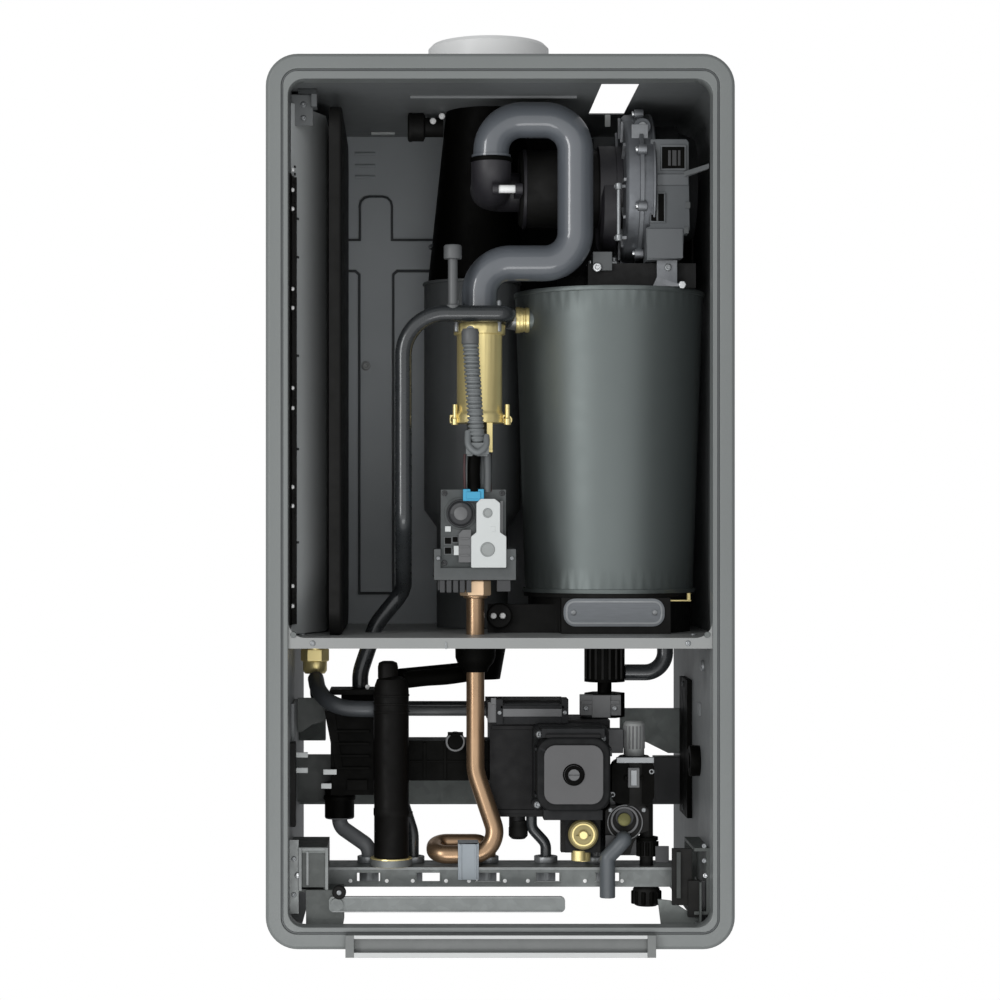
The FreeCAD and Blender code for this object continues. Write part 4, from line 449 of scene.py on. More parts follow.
def set_lights():
    """A soft sky that the camera sees as white, and the studio's lights."""
    world = bpy.data.worlds.new("studio")
    world.use_nodes = True
    tree = world.node_tree
    sky = tree.nodes["Background"]
    white = tree.nodes.new("ShaderNodeBackground")
    for node, colour, strength in ((sky, SKY_COLOUR, SKY_STRENGTH), (white, (1, 1, 1, 1), 1.0)):
        node.inputs["Color"].default_value = colour
        node.inputs["Strength"].default_value = strength
    path = tree.nodes.new("ShaderNodeLightPath")
    mix = tree.nodes.new("ShaderNodeMixShader")
    for number, output in enumerate((path.outputs["Is Camera Ray"], sky.outputs[0], white.outputs[0])):
        tree.links.new(output, mix.inputs[number])
    tree.links.new(mix.outputs[0], tree.nodes["World Output"].inputs["Surface"])
    bpy.context.scene.world = world

    for name, spot, aim, size, power in LIGHTS:
        lamp = bpy.data.lights.new(name, "AREA")
        lamp.shape = "RECTANGLE"
        lamp.size, lamp.size_y = size
        lamp.energy = power
        holder = placed(name, lamp)
        holder.location = at(*spot)
        holder.rotation_euler = (at(*aim) - at(*spot)).to_track_quat("-Z", "Y").to_euler()


def set_floor():
    ground = bpy.data.meshes.new("floor")
    corners = [at(x * FLOOR_HALF, depth * FLOOR_HALF, FLOOR_HEIGHT)
               for x, depth in ((-1, -1), (1, -1), (1, 1), (-1, 1))]
    ground.from_pydata([tuple(corner) for corner in corners], [], [(0, 1, 2, 3)])
    ground.materials.append(Look("floor", "f0f0f0", 0.9).mottled(2, 0.01).made())
    placed("floor", ground)


# The looks of the CAD nodes, each with the width of the broken edges
DRESS = (
    (PAINT, 0.8, "front_frame"),
    (WALL, 0, "left_wall", "right_wall", "top_panel"),
    (LIGHTENED_BACK, 0.8, "back_panel"),
    (SHELF, 0.3, "middle_shelf"),
    (LIP_WEB, 0.3, "bottom_lip"),
    (BAR, 0.3, "support_bar"),
    (PLATE_GREY, 0.3, "hinge_brackets"),
    (ZINC, 0.3, "wall_bracket", "connection_rail", "casing_screws"),
    (DARK_ZINC, 0.5, "rear_crossbars"),
    (VALVE, 0.6, "valve_bracket", "gas_valve"),
    (PLATE, 0.3, "name_plate"),
    (JACKET, 0.4, "exchanger_jacket"),
    (ALLOY, 1.0, "fan_scroll"),
    (BURNER, 1.0, "burner_plate"),
    (BLACK, 0.6, "flue_cone", "trap_tube", "wall_strip", "condensate_sump", "siphon_body", "manifold",
        "fan_impeller", "flow_sensor"),
    (MOTOR_SHADE, 0.8, "fan_motor"),
    (SOFT_BLACK, 0.6, "baffle_panel", "exchanger_base", "inlet_silencer", "air_vent", "filling_tap",
        "tap_handwheel", "test_port_cap"),
    (DUCT, 0.5, "flue_duct"),
    (ELBOW, 0, "inlet_elbow"),
    (WHITE, 0, "flue_collar"),
    (TUBE, 0, "mixture_tube"),
    (PALE, 0.8, "valve_cover"),
    (CAP, 0.6, "vent_cap"),
    (GREY, 0.6, "vent_screw"),
    (CAST, 0.8, "pump_motor", "pump_housing"),
    (DARK, 0.6, "adjuster_knob", "relief_valve"),
    (BRASS, 0.5, "venturi", "brass_fittings"),
    (COCK, 0.5, "drain_cock"),
    (STEEL, 0.5, "pipe_tails"),
    (COPPER, 0, "gas_pipe"),
    (PIPE, 0, "flow_pipe", "return_pipe", "water_pipes"),
    (RUBBER, 0.3, "signal_tubes"),
    (HOSE, 0, "drain_hose"),
    (STACK, 0.8, "plate_exchanger"),
    (BRIGHT, 0, "exchanger_coil", "burner", "pump_rotor"),
)


def dress_frame():
    for look, edge, *names in DRESS:
        for thing in (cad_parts[name] for name in names):
            for holder in thing.material_slots:
                holder.material = look
            if edge:
                weld = thing.modifiers.new("Weld", "WELD")
                weld.merge_threshold = 0.00002
                bevel(thing, edge)


# Small parts of the casing

INNER = 199
STRIP_FOOT, STRIP_TOP = 303, 731
STUD_HEIGHTS = (735, 716, 698, 622, 604, 528, 509, 434, 416, 340, 321)
SLOT_TOP = 741

# Middles of round pieces across their own axis
FAN = middle("fan_impeller")[1:]
JACKET_MIDDLE = middle("exchanger_jacket")[:2]
SENSOR = middle("flow_sensor")[:2]
COLLAR = middle("flue_collar")[:2]
CAP_MIDDLE = middle("vent_cap")[:2]
WHEEL = middle("tap_handwheel")[:2]
GAS_LINE = (-21.3, 80)
TUBE_FOOT = (-5.6, 90)
PIN = (74, 723)
FLOW_VENT = (-43.6, 58)
TRAP = (-102.6, 72)
SIPHON_TAIL = (-154, 112.5)
FILLING = (-179.5, 146)


def casing_trim():
    seal = Piece("frame_seal", edge=0)
    outer, inner, near, far = (205.2, 14.8), (203.8, 16.2), 1.0, 3.9
    loops = [(*outer, near), (*outer, far), (*inner, far), (*inner, near)]
    seal.rings([[(x, depth, height)
                 for x, height in rounded(-half, low, half, CASING_HEIGHT - low, half - 190)]
                for half, low, depth in loops], DUCT, closed=True)

    strip = Piece("edge_strip")
    strip.slabs(BLACK, (-INNER, -197, 23, 44, STRIP_FOOT, STRIP_TOP))
    strip.slabs(SOFT_BLACK, (-INNER, -195.6, 44, 54, STRIP_FOOT, STRIP_TOP),
        (-INNER, -193.2, 50, 55.4, STRIP_FOOT, STRIP_TOP))
    for height in STUD_HEIGHTS:
        strip.turned([(2, 0), (2, 1.6), (1.3, 2.4), (0, 2.6)], (-197, 30, height), "x", WHITE, 12)
        for foot, reach in ((height - 9, 5), (height - 2, 8), (height + 5, 6)):
            strip.slabs(SOFT_BLACK, (-195.6, -194, 46, 46 + reach, foot, foot + 1.6))

    # The left liner's colour is lightened, painted light for the shaded left wall.
    liner = Piece("left_liner", "sheet_paint")
    liner.prism([(-198.9, 54.6), (-197.4, 55.6), (-168, 128), (-167.4, 333.8), (-168.6, 333.8),
        (-169.2, 129), (-198.3, 58.6), (-198.9, 58.6)], 293, 803, LIGHTENED_LINER, axis="z")
    for height in (692, 655, 560, 470, 380):
        liner.prism([(-194.6, 61.4), (-191.6, 68.8), (-192.6, 69.2), (-195.6, 61.8)], height, height + 2.4,
            EDGE_AND_SHADE, axis="z")

    roof = Piece("roof_bead", "sheet_paint")
    roof.tube([(EYE_X, 91, 815.5), (0, 91, 815.5), (78, 91, 815.5)], 2, WALL, 10, 2)
    roof.slabs(PALE, (-126, -101, 305, 315, 814.4, 816))

    hook = Piece("corner_hook", "sheet_paint", edge=0.4)
    hook.slabs(WALL, (-INNER, -178, 60, 61.5, 782, 812), (-179.5, -174, 52, 72, 799, 815.5))
    hook.slabs(EDGE_AND_SHADE, (-192, -174, 50, 53, 811, 815.5))
    for height in (802, 789):
        hook.screw((-187, 60, height), 2.8, 2)

    channel = [(-138, 326), (-138, 668), (-143, 672.6), (-166, 672.6), (-166, 703.3), (-137.5, 703.3),
               *around(-128.5, SLOT_TOP, 9, (180, 150, 120, 90)),
               *around(-114.3, SLOT_TOP, 9, (90, 60, 30, 0)),
               (-105.3, 703.3), (-40, 703.3), (-40, 672.6), (-99, 672.6), (-104, 668), (-104, 326)]
    emboss = Piece("back_emboss", "back_sheet", edge=1.1)
    # A dark band just outside the raised channel, painted shade for its sloping sides.
    emboss.prism(grown(channel, 2.6), 332.6, 334.9, EDGE_AND_SHADE)
    emboss.prism(channel, 330.6, 334.8, LIGHTENED_BACK)
    emboss.screw((-132, 330.6, 569), 5, 3, SHELF)

    marks = Piece("back_louvres", "back_sheet", edge=0.4)
    for height in (796, 783, 771):
        marks.prism([(334.9, height), (333.2, height + 1.2), (333.2, height + 2.2), (334.9, height + 4)],
            -144, -122, LIGHTENED_BACK, axis="x")
    marks.prism([(-136, 563), (-110.5, 563), (-110.5, 527), (-119, 516.5), (-136, 516.5)], 333.8, 334.9,
        LIGHTENED_BACK)

    hanger = Piece("slot_tab", "sheet_paint")
    hanger.slabs(SHELF, (113.8, 119.4, 195.4, 197, 803.5, 815.9))
    hanger.prism([(181, 83.5), (INNER, 30), (INNER, 37), (185, 86)], 736.4, 741.2, WALL, axis="z")

    boss = Piece("wall_boss", "sheet_paint")
    boss.lathe([(13, 0), (13, 1.0), (11, 2.0), (0, 2.0)], (INNER, 60, 247), "x", WALL)
    boss.turned([(5.5, 0), (5.5, -2.2), (3.5, -3.2)], (INNER, 72, 262), "x", STEEL, 18)
    boss.turned([(3.5, 0), (3.5, -1.8), (0, -2.4)], (INNER, 40, 283), "x", STEEL, 16)
    boss.slabs(WALL, *((INNER - 1.6, INNER, depth, depth + 5, 212, 224) for depth in (92, 104)))


def shelf_trim():
    """The rubber boot round the gas pipe, the small screws and the clip on the shelf's lip."""
    boot = Piece("gas_boot", edge=0.4)
    boot.turned([(29, 0), (29, -1.4), (19.8, -1.8), (19.4, -21), (17.6, -26), (13.4, -31), (12, -35)],
        (*GAS_LINE, 290.6), "z", BLACK, 40, bore=9.2)

    spots = Piece("shelf_screws", "zinc_sheet", edge=0.2)
    for x in (-176, 176):
        spots.screw((x, 3, 287), 2.6, 1.4)
    for depth in (60, 180, 300):
        for x in (-188, 188):
            spots.screw((x, depth, 292), 3.2, 1.8, axis="z", sign=1)
    spots.slabs(STEEL, (-51.6, -50.2, 1.8, 3, 281.6, 288))

    clip = Piece("base_clip", "brass")
    clip.slabs(BRASS, (186.3, 189.2, 96, 104, 324.6, 331.5), (168.5, 190, 96, 104, 323.4, 324.8))


# Flue side

def duct_trim():
    socket = Piece("duct_socket", "duct_plastic", edge=0.4)
    socket.ring(44.6, 46.6, 4, (-19, 247, 685), "z", PIPE, 56, slope=0.6)
    socket.turned([(51.6, 0), (51.6, 2), (50.6, 3)], (-20, 250, 647), "z", DUCT, 56, bore=44)

    port = Piece("test_port_trim")
    port.turned([(14.6, 0), (14.6, -3), (13.2, -4.2)], (-82.5, 190, 801.7), "x", SOFT_BLACK, 28, bore=9)
    for x, height in ((-61.5, 806), (-52.4, 811)):
        port.turned([(3.2, 0), (3.2, -2), (1.8, -3)], (x, 177, height), "y", WHITE, 14)


def flow_trim():
    """The small vent on the flow pipe, its flange pins and the flanges under them."""
    vent = Piece("flow_vent", "pipe_steel", edge=0.4)
    vent.rod(4.6, 46, (*FLOW_VENT, 608), "z", VENT_GREY)
    vent.turned([(8.4, 0), (8.7, 1), (8.7, 12), (7.8, 13.4)], (*FLOW_VENT, 653.5), "z", VENT_GREY, 28)
    vent.turned([(6.4, 0), (6.4, 6), (5.4, 7)], (*FLOW_VENT, 603), "z", VENT_GREY, 24)

    flange = Piece("venturi_flange", "brass", edge=0.4)
    flange.turned([(24.5, 0), (24.5, 6.5), (23.5, 8)], (*middle("venturi")[:2], 586), "z", BRASS, 40,
        bore=17.8)
    for x in (-39.7, 1.5):
        flange.turned([(2.3, 0), (2.3, 29), (1.5, 30.5)], (x, 74, 585), "z", STEEL, 14)

    pins = Piece("venturi_pins", "brass", edge=0.4)
    for x in (-41, 9.8):
        pins.turned([(3.4, 0), (3.4, 6), (2.3, 7), (2.3, 20)], (x, 81, 495), "z", BRASS, 18)
        pins.turned([(4.8, 0), (4.8, 3), (3.6, 4.5)], (x, 82, 500), "y", BRASS, 20)
    pins.slabs(BRASS, (-10.7, -4.9, 69, 72, 470, 497), (-10.7, -4.9, 64, 72, 468, 470.6))

    nut = Piece("port_nut", "brass")
    nut.turned([(11.8, 0), (12.4, 0.8), (12.4, 3.6), (11.6, 4.4), (11.6, 5.6), (12.4, 6.4), (12.4, 9.2),
        (11.8, 10)], (23.4, 130, 601), "x", BRASS, 36, bore=11.2)
    nut.turned([(8.6, 0), (10.4, 8.5), (10.4, 10.5)], (10.4, 130, 601), "x", STEEL, 32, bore=8.1)


def tube_trim():
    joint = Piece("tube_joint")
    joint.turned([(20.6, 0), (20.8, 0.6), (20.8, 3.6), (20.2, 4.2)], (*TUBE_FOOT, 751), "z", BLACK, 40,
        bore=17.9)
    joint.ring(17.9, 19.2, 2.6, (*TUBE_FOOT, 755.6), "z", TUBE)

    pin = Piece("elbow_pin", "zinc_sheet")
    pin.turned([(3.7, 0), (3.9, 0.5), (3.9, 17), (3.5, 17.6)], (-0.1, *PIN), "x", WHITE, 24)
    pin.rod(5.4, 6, (-5, *PIN), "x", ELBOW)
    pin.rod(5.4, 7, (17.2, *PIN), "x", ELBOW)
    pin.slabs(ELBOW, (17.4, 24, 74, 114, 719, 727))

    rim = Piece("silencer_rim")
    rim.ring(38.3, 39.4, 4, (27, *FAN), "x", ELBOW, 48, slope=0.6)


# Fan

def scroll_trim():
    mat = Piece("fan_mat", edge=0.8)
    mat.slabs(MAT, (28, 112, 322, 326, 640, 812), (112, 198.5, 322, 326, 640, 775),
        (196.4, 198.6, 150, 322, 640, 760))

    neck = Piece("scroll_inlet", edge=0.5)
    neck.ring(20, 42.8, 16.5, (102, *FAN), "x", ELBOW, 56)
    neck.turned([(43, 0), (47, 3), (47, 15), (44, 18)], (103, 150, 717), "x", ELBOW, 56, bore=20)
    neck.ring(20, 42.4, 6.4, (118.5, *FAN), "x", ELBOW, 56)

    rim = Piece("scroll_rim", "cast_alloy", edge=0.5)
    rim.ring(73.2, 75.6, 5, (138, *FAN), "x", ALLOY, 72, slope=0.6)
    rim.ring(71.6, 74.2, 3, (151, *FAN), "x", ALLOY, 72, slope=0.6)
    for spot in around(*FAN, 77, (280, 242, 200, 158, 116, 74, 30, -20)):
        rim.turned([(4.6, 0), (4.9, 0.6), (4.9, 8.4), (4.4, 9)], (136, *spot), "x", ALLOY, 20)
        rim.turned([(2.6, -2.4), (3, -1.8), (3, 0)], (136, *spot), "x", BRIGHT, 14)
    rim.turned([(7.8, 0), (8.5, 0.7), (8.5, 9.3), (7.8, 10)], (142, 93, 787), "y", ALLOY, 26)
    rim.turned([(4, -1.6), (4.4, -1.2), (4.4, 0)], (142, 93, 787), "y", STEEL, 18)
    rim.slabs(ALLOY, (131, 147, 88, 100, 774, 788))

    rod = Piece("scroll_rod", "zinc_sheet")
    rod.rod(1.9, 44, (118, 84, 680), "z", STEEL, 16)
    for height in (724, 674):
        rod.turned([(3, 0), (3.4, 0.6), (3.4, 5.6), (2.8, 6.2)], (118, 84, height), "z", STEEL, 18)
    rod.slabs(ALLOY, (114, 126, 86, 92, 676, 679), (114, 126, 86, 92, 726, 729))

    back = Piece("scroll_back", "cast_alloy")
    for turn in range(0, 360, 30):
        out = Vector(around(0, 0, 1, (turn,))[0])
        side = Vector((-out.y, out.x)) * 1.5
        corners = [Vector(FAN) + out * reach + side * sign
                   for reach, sign in ((50, 1), (50, -1), (71, -1), (71, 1))]
        back.prism([tuple(corner) for corner in corners], 122.6, 125.2, ALLOY, axis="x")


def motor_trim():
    cover = Piece("motor_cover", "motor_plastic", edge=1.2)
    outline = [(149, 773), (184, 773), (186.2, 770), (186.4, 739), (187.3, 684.6), (181.5, 679.7),
               (180.5, 657.4), (145.6, 655.4), (144.6, 686.5), (148.5, 688.5)]
    cover.prism(outline, 84, 122, MOTOR)
    cover.slabs(MOTOR, (154, 186, 82, 84.2, 728, 738.7), (148.8, 187, 82.8, 84.2, 737, 739.4),
        (145.6, 180.5, 82.4, 84.2, 657, 686))

    window = Piece("motor_windows", "motor_plastic")
    rim = 1.4
    for left, right, foot, top in ((160, 182, 744, 765.5), (149.5, 162, 693, 719.5)):
        window.slabs(BLACK, (left, right, 83.2, 84.4, foot, top))
        for low, high in ((foot - rim, foot), (top, top + rim)):
            window.slabs(MOTOR, (left - rim, right + rim, 82.2, 84.2, low, high))
        for low, high in ((left - rim, left), (right, right + rim)):
            window.slabs(MOTOR, (low, high, 82.2, 84.2, foot, top))
    window.slabs(DARK, (166, 178, 82.9, 84.2, 747, 762))
    window.slabs(BLACK, (168.5, 170, 82.6, 84.2, 747, 762), (174, 175.5, 82.6, 84.2, 747, 762))
    window.slabs(DUCT, (154.6, 156.4, 82.8, 84.2, 693, 719.5))
    for x, height in ((183, 708.6), (181.5, 684.3)):
        window.turned([(3.4, 0), (3.4, 2.4), (2.4, 3.4)], (x + 2, 100, height), "x", DUCT, 18)
        window.slabs(DUCT, (x, x + 4.5, 82.4, 86, height - 3, height + 3))

    plug = Piece("fan_plug", edge=0.6)
    plug.slabs(DUCT, (94, 112.8, 96, 122, 646.5, 665))
    plug.screw((98, 96, 649.5), 4.9, 3, BRIGHT)
    plug.slabs(DARK, (104, 153, 104, 124, 632, 649.5))
    plug.slabs(DUCT, (110, 150, 102.6, 104.2, 636, 646))

    foot = Piece("fan_foot", "cast_alloy", edge=0.5)
    foot.prism([(156, 656.4), (176, 656.4), (176, 634), (183, 634), (183, 630.6), (152, 630.6), (156, 640)],
        92, 98, ALLOY)
    foot.screw((166.8, 92, 649), 3.6, 2.4)
    foot.hexagon((180.5, 92, 632), "y", 4.2, [(0, -3.4), (0.9, -3.4), (1, -2.8), (1, 0), (0, 0)], BRIGHT)

    lead = Piece("fan_lead", edge=0)
    lead.tube([(176, 112, 658), (182, 118, 640), (188, 130, 600), (191, 150, 520), (192, 160, 400),
        (192, 170, 300)], 2.6, BLACK, 12)
    lead.tube([(172, 112, 658), (178, 122, 638), (185, 136, 600), (188, 156, 520), (189, 166, 400),
        (189, 176, 300)], 2.2, BLACK, 12)


# Gas valve

def signal_trim():
    line = Piece("signal_fittings", "tube_rubber", edge=0.5)
    line.turned([(7.8, 0), (8.4, 1), (8.4, 12), (7.2, 15)], (-27, 52, 571), "z", VENT_GREY, 26)
    for number in range(24):
        share = number / 24
        spot = (-20.6 - 6.2 * share, 60 - 8 * share, 480 + 92 * share)
        line.ring(6.9, 7.9, 2.9, spot, "z", RUBBER, 24, slope=0.6)
    line.tube([(-29, 58, 488), (-28.5, 52, 474), (-20, 50, 467.5), (-12, 53, 474), (-11.4, 60, 484)], 3.2,
        RUBBER)
    line.slabs(RUBBER, (-30, -10, 54, 70, 464, 470))

    leads = Piece("signal_leads", "tube_rubber", edge=0)
    leads.tube([(-22.5, 60, 466), (-23.5, 58, 450), (-23, 60, 430)], 6.2, BLACK, 18)
    leads.tube([(-10.5, 60, 466), (-10, 60, 450), (-10.2, 62, 430)], 3.6, DUCT)
    for x in (-32, -7.6):
        leads.tube([(x, 62, 466), (x - 0.4, 60, 450), (x + 0.3, 62, 430)], 1.2, RED_WIRE, 10)


def valve_trim():
    plug = Piece("valve_plug", "pale_plastic", edge=0.6)
    plug.slabs(CYAN, (-33.8, -13.7, 55, 63, 421, 432.5), (-30.5, -17, 53.6, 55.4, 423, 430))
    plug.slabs(DARK, (-35.4, -12, 58, 63, 419.6, 421.6))

    x, _, height = middle("adjuster_knob")
    ring = Piece("knob_ring")
    ring.turned([(13.6, 0), (13.6, -4.5), (12.8, -5.4)], (x, 62, height), "y", DARK, 36, bore=12)
    ring.ring(9.5, 15.6, -1.6, (x, 62, height), "y", VALVE, 36)

    centre = Piece("knob_centre", "knob_plastic", edge=0.2, body="adjuster")
    centre.turned([(6.6, 0), (6.6, -0.5), (5.8, -1)], (x, 54.1, height), "y", GREY, 30)

    marks = Piece("valve_sockets", "valve_alloy")
    marks.slabs(PALE, (-51, -45.4, 60.4, 62.2, 391.5, 396.8))
    for x, height, half in ((-48.2, 382.8, 3), (-41.3, 384, 2.4), (-48.2, 373.2, 3), (-41.3, 372, 2)):
        for look, near, reach in ((BLACK, 60.8, half), (VALVE, 61.4, half + 1)):
            marks.slabs(look, (x - reach, x + reach, near, 62.2, height - reach, height + reach))
    marks.slabs(PALE, (-42.6, -37.6, 57, 62.2, 369, 378))
    marks.prism([(-38, 362), (-26, 362), (-26, 393.5), (-34, 393.5), (-38, 389)], 56, 62.2, GREY)
    marks.slabs(GREY, *((-37, -28, 55.2, 56.2, height, height + 2) for height in (368, 376, 384)))
    for x, height in ((-51.5, 428.5), (4, 428.5), (-51.5, 361.5)):
        marks.screw((x, 62.2, height), 2.7, 1.8, DARK)

    face = Piece("cover_marks", "pale_plastic", edge=0.25)
    for x, height, radius in ((-10.4, 409.5, 4), (-10.4, 374.5, 6.4)):
        face.turned([(radius - 0.8, 0), (radius - 0.8, -0.4), (radius, -0.8), (radius + 0.8, 0.2)],
            (x, 52.6, height), "y", COVER_MARK, 28)
    face.slabs(PALE, (-8, -3, 52.6, 53.2, 391.6, 396.6))
    face.slabs(GREY, (1.9, 4.6, 56.4, 62, 386, 421), (5, 7.2, 57, 62, 357, 386))

    row = Piece("valve_foot", edge=0.4)
    for step in range(5):
        row.slabs(DARK, (-56 + step * 6.4, -51.2 + step * 6.4, 60, 72, 333, 345))
    row.slabs(DARK, (-58, -24, 70, 76, 335, 345), (-1, 12, 60, 74, 334, 345))
    for x in (-57.5, 13.2):
        row.screw((x, 58, 366), 2.2, 1.6)

    nut = Piece("gas_nut", "copper", edge=0.4)
    nut.hexagon((*GAS_LINE, 329.4), "z", 15.2, [(0.62, 0), (0.93, 0), (1, 1), (1, 14), (0.93, 15.2),
        (0.62, 15.2)], NUT)
    nut.turned([(11.4, 0), (11.8, 0.8), (11.8, 2.6)], (*GAS_LINE, 327), "z", COPPER, 36, bore=9)


# Heat exchanger

def exchanger_trim():
    plug = Piece("base_plug_pins", "pale_plastic", edge=0.2)
    for x in (-3, 6):
        plug.turned([(2.7, 0), (3, -0.6), (3, -3.4), (2.3, -4.2)], (x, 104, 309), "y", WHITE, 18)
    plug.ring(11.2, 12.8, -2, (3, 106, 309), "y", BLACK, 36)

    edge = Piece("plate_border", "zinc_sheet", edge=0.15)
    outer, inner = rounded(66.5, 301.5, 160.5, 324.5, 8.5, 6), rounded(68.5, 303.5, 158.5, 322.5, 6.5, 6)
    edge.rings([[(x, depth, height) for x, height in line]
                for line, depth in ((outer, 82.6), (outer, 81.8), (inner, 81.8), (inner, 82.6))],
               STEEL, closed=True)
    for x in (74, 153):
        edge.screw((x, 82.5, 313), 2.8, 1.6, drive=False)

    brim = Piece("jacket_brim", "jacket_steel")
    brim.ring(93.2, 95.4, 3.4, (*JACKET_MIDDLE, 627), "z", JACKET, 96)
    slant = [(84.2, 0), (86.4, 0), (86.8, 4), (84.4, 4)]
    brim.lathe(slant, (*JACKET_MIDDLE, 331), "z", JACKET, 96, closed=True)

    door = Piece("burner_fixings", "zinc_sheet", edge=0.2)
    for x, depth in around(142, 165, 46, range(12, 360, 45)):
        door.hexagon((x, depth, 654), "z", 5.2, [(0, 0), (0.9, 0), (1, 0.6), (1, 4), (0.9, 4.6), (0, 4.6)],
            STEEL)
        door.turned([(2.8, 0), (2.8, 8), (2, 8.8)], (x, depth, 654), "z", STEEL, 14)


# Lower part

def left_trim():
    sleeve = Piece("fill_sleeve", "pipe_steel", edge=0)
    sleeve.tube([(-178, 128, 246), (-174, 104, 236), (-163, 86, 226), (-146, 80, 220.5), (-121, 79, 219.6),
        (-112, 96, 219)], 8, DARK_PIPE, 18)

    nut = Piece("fill_nut", "brass", edge=0.4)
    nut.hexagon((*FILLING, 262), "z", 14.2, [(0.6, 0), (0.92, 0), (1, 1), (1, 12), (0.92, 13), (0.6, 13)],
        BRASS)
    nut.ring(12.1, 13.4, 4, (*FILLING, 282), "z", BRASS, 32, slope=0.6)

    trap = Piece("trap_body", edge=0.5, replaces=("trap_tube",))
    trap.turned([(16.8, 0), (16.8, 40), (17.4, 41), (17.4, 47), (16.8, 48), (16.8, 160), (16.2, 166),
        (14, 172), (10, 174.6)], (*TRAP, 77), "z", TRAP_BLACK, 44)
    trap.turned([(9.8, 0), (9.8, 11), (8.8, 15), (5, 16.6)], (-106, 72, 250), "z", TRAP_BLACK, 36)
    for height in (216, 224, 232):
        trap.ring(15, 17.5, 3.2, (*TRAP, height), "z", TRAP_BLACK, 44, slope=0.8)
    trap.slabs(TRAP_BLACK, (-87.5, -82, 68, 76, 116, 121))

    ring = Piece("trap_ring", "zinc_sheet")
    ring.ring(17, 20.6, 6.6, (-103, 72, 69.2), "z", ZINC, 44)

    siphon = Piece("siphon_trim", "siphon_plastic", edge=0.5)
    siphon.slabs(BLACK, (-163, -119, 88, 137, 232.5, 237.5))
    siphon.prism([(-168, 217), (-158, 217), (-150, 160), (-157, 160)], 88, 120, BLACK)
    for height in (160, 172, 184, 196):
        siphon.slabs(BLACK, (-158, -124, 87.6, 90.2, height, height + 2.4))
    siphon.slabs(BLACK, (-146, -126, 86.4, 90.2, 140, 150))
    siphon.turned([(15.6, 0), (15.8, 0.8), (15.8, 4), (14.3, 4.8)], (*SIPHON_TAIL, 128), "z", BLACK, 36,
        bore=14.3)
    siphon.turned([(13.6, 0), (14.4, 1), (14.4, 3.2)], (*SIPHON_TAIL, 109.6), "z", HOSE, 36, bore=8)
    for x, height in ((-163, 222), (-152, 224), (-124, 224)):
        siphon.screw((x, 88, height), 2.6, 1.6, DUCT)
    siphon.turned([(2.4, 0), (2.4, -2), (0, -2.6)], (-126.2, 98, 239.8), "y", WHITE, 14)

    block = Piece("manifold_trim", "siphon_plastic", edge=0.4)
    block.slabs(BLACK, *((left, left + 3, 93.4, 95.2, 150, 186) for left in (-112, -92, -72, -52)),
        (-119, -8, 93.8, 95.2, 166, 168.4))
    block.turned([(9, 0), (9.6, 0.8), (9.6, 9)], (-40.5, 86, 187), "y", GREY, 30, bore=7.6)
    block.rod(7.4, 5, (-40.5, 88, 187), "y", BLACK)
    block.slabs(BLACK, (-48, -33, 86, 90, 193, 196.5))

    line = Piece("return_line", "siphon_plastic", edge=0)
    line.tube([(x, 128, 213.4) for x in (-94, -60, -20, -4)], 4.4, VENT_GREY, 18, 2)
    line.tube([(-93, 84, 247), (-70, 94, 249), (-50, 102, 249.8), (-30, 110, 252)], 8.3, BLACK, 20)

    plates = Piece("left_plates", "zinc_sheet", edge=0.4)
    plates.slabs(PLATE_GREY, (-187, -163.6, 23.4, 24.8, 55, 91))
    plates.slabs(ZINC, (-183, -180.5, 22.6, 23.6, 57, 89))
    plates.slabs(DARK_ZINC, (-187, -163.6, 23, 24, 87.5, 91.6))
    plates.prism([(-196, 227), (-168, 227), (-168, 204), (-182, 200), (-192, 193), (-196, 193)], 128, 130,
        PLATE_GREY)
    plates.slabs(LOW_PLATE, (-199, -158, 128, 130, 124, 171))
    plates.slabs(PALE, (-169, -156, 84, 88, 155.4, 160.4), (-171, -161, 84, 88, 141.8, 146.8),
        (-196, -184, 84, 88, 172, 177), (-196, -184, 84, 88, 157, 162))
    plates.slabs(WALL, (-199, -196, 60, 128, 120, 226))
    plates.slabs(SOFT_BLACK, (-199, -194, 40, 60, 110, 190))

    clip = Piece("gas_clip", "pale_plastic", edge=0.5)
    clip.slabs(CLIP, (-38.6, -18.6, 56.6, 58.4, 57.2, 92.7), (-38.6, -18.6, 56.6, 80, 91, 92.7),
        (-36.6, -34.9, 55.6, 57, 57.2, 91), (-22.3, -20.6, 55.6, 57, 57.2, 91))


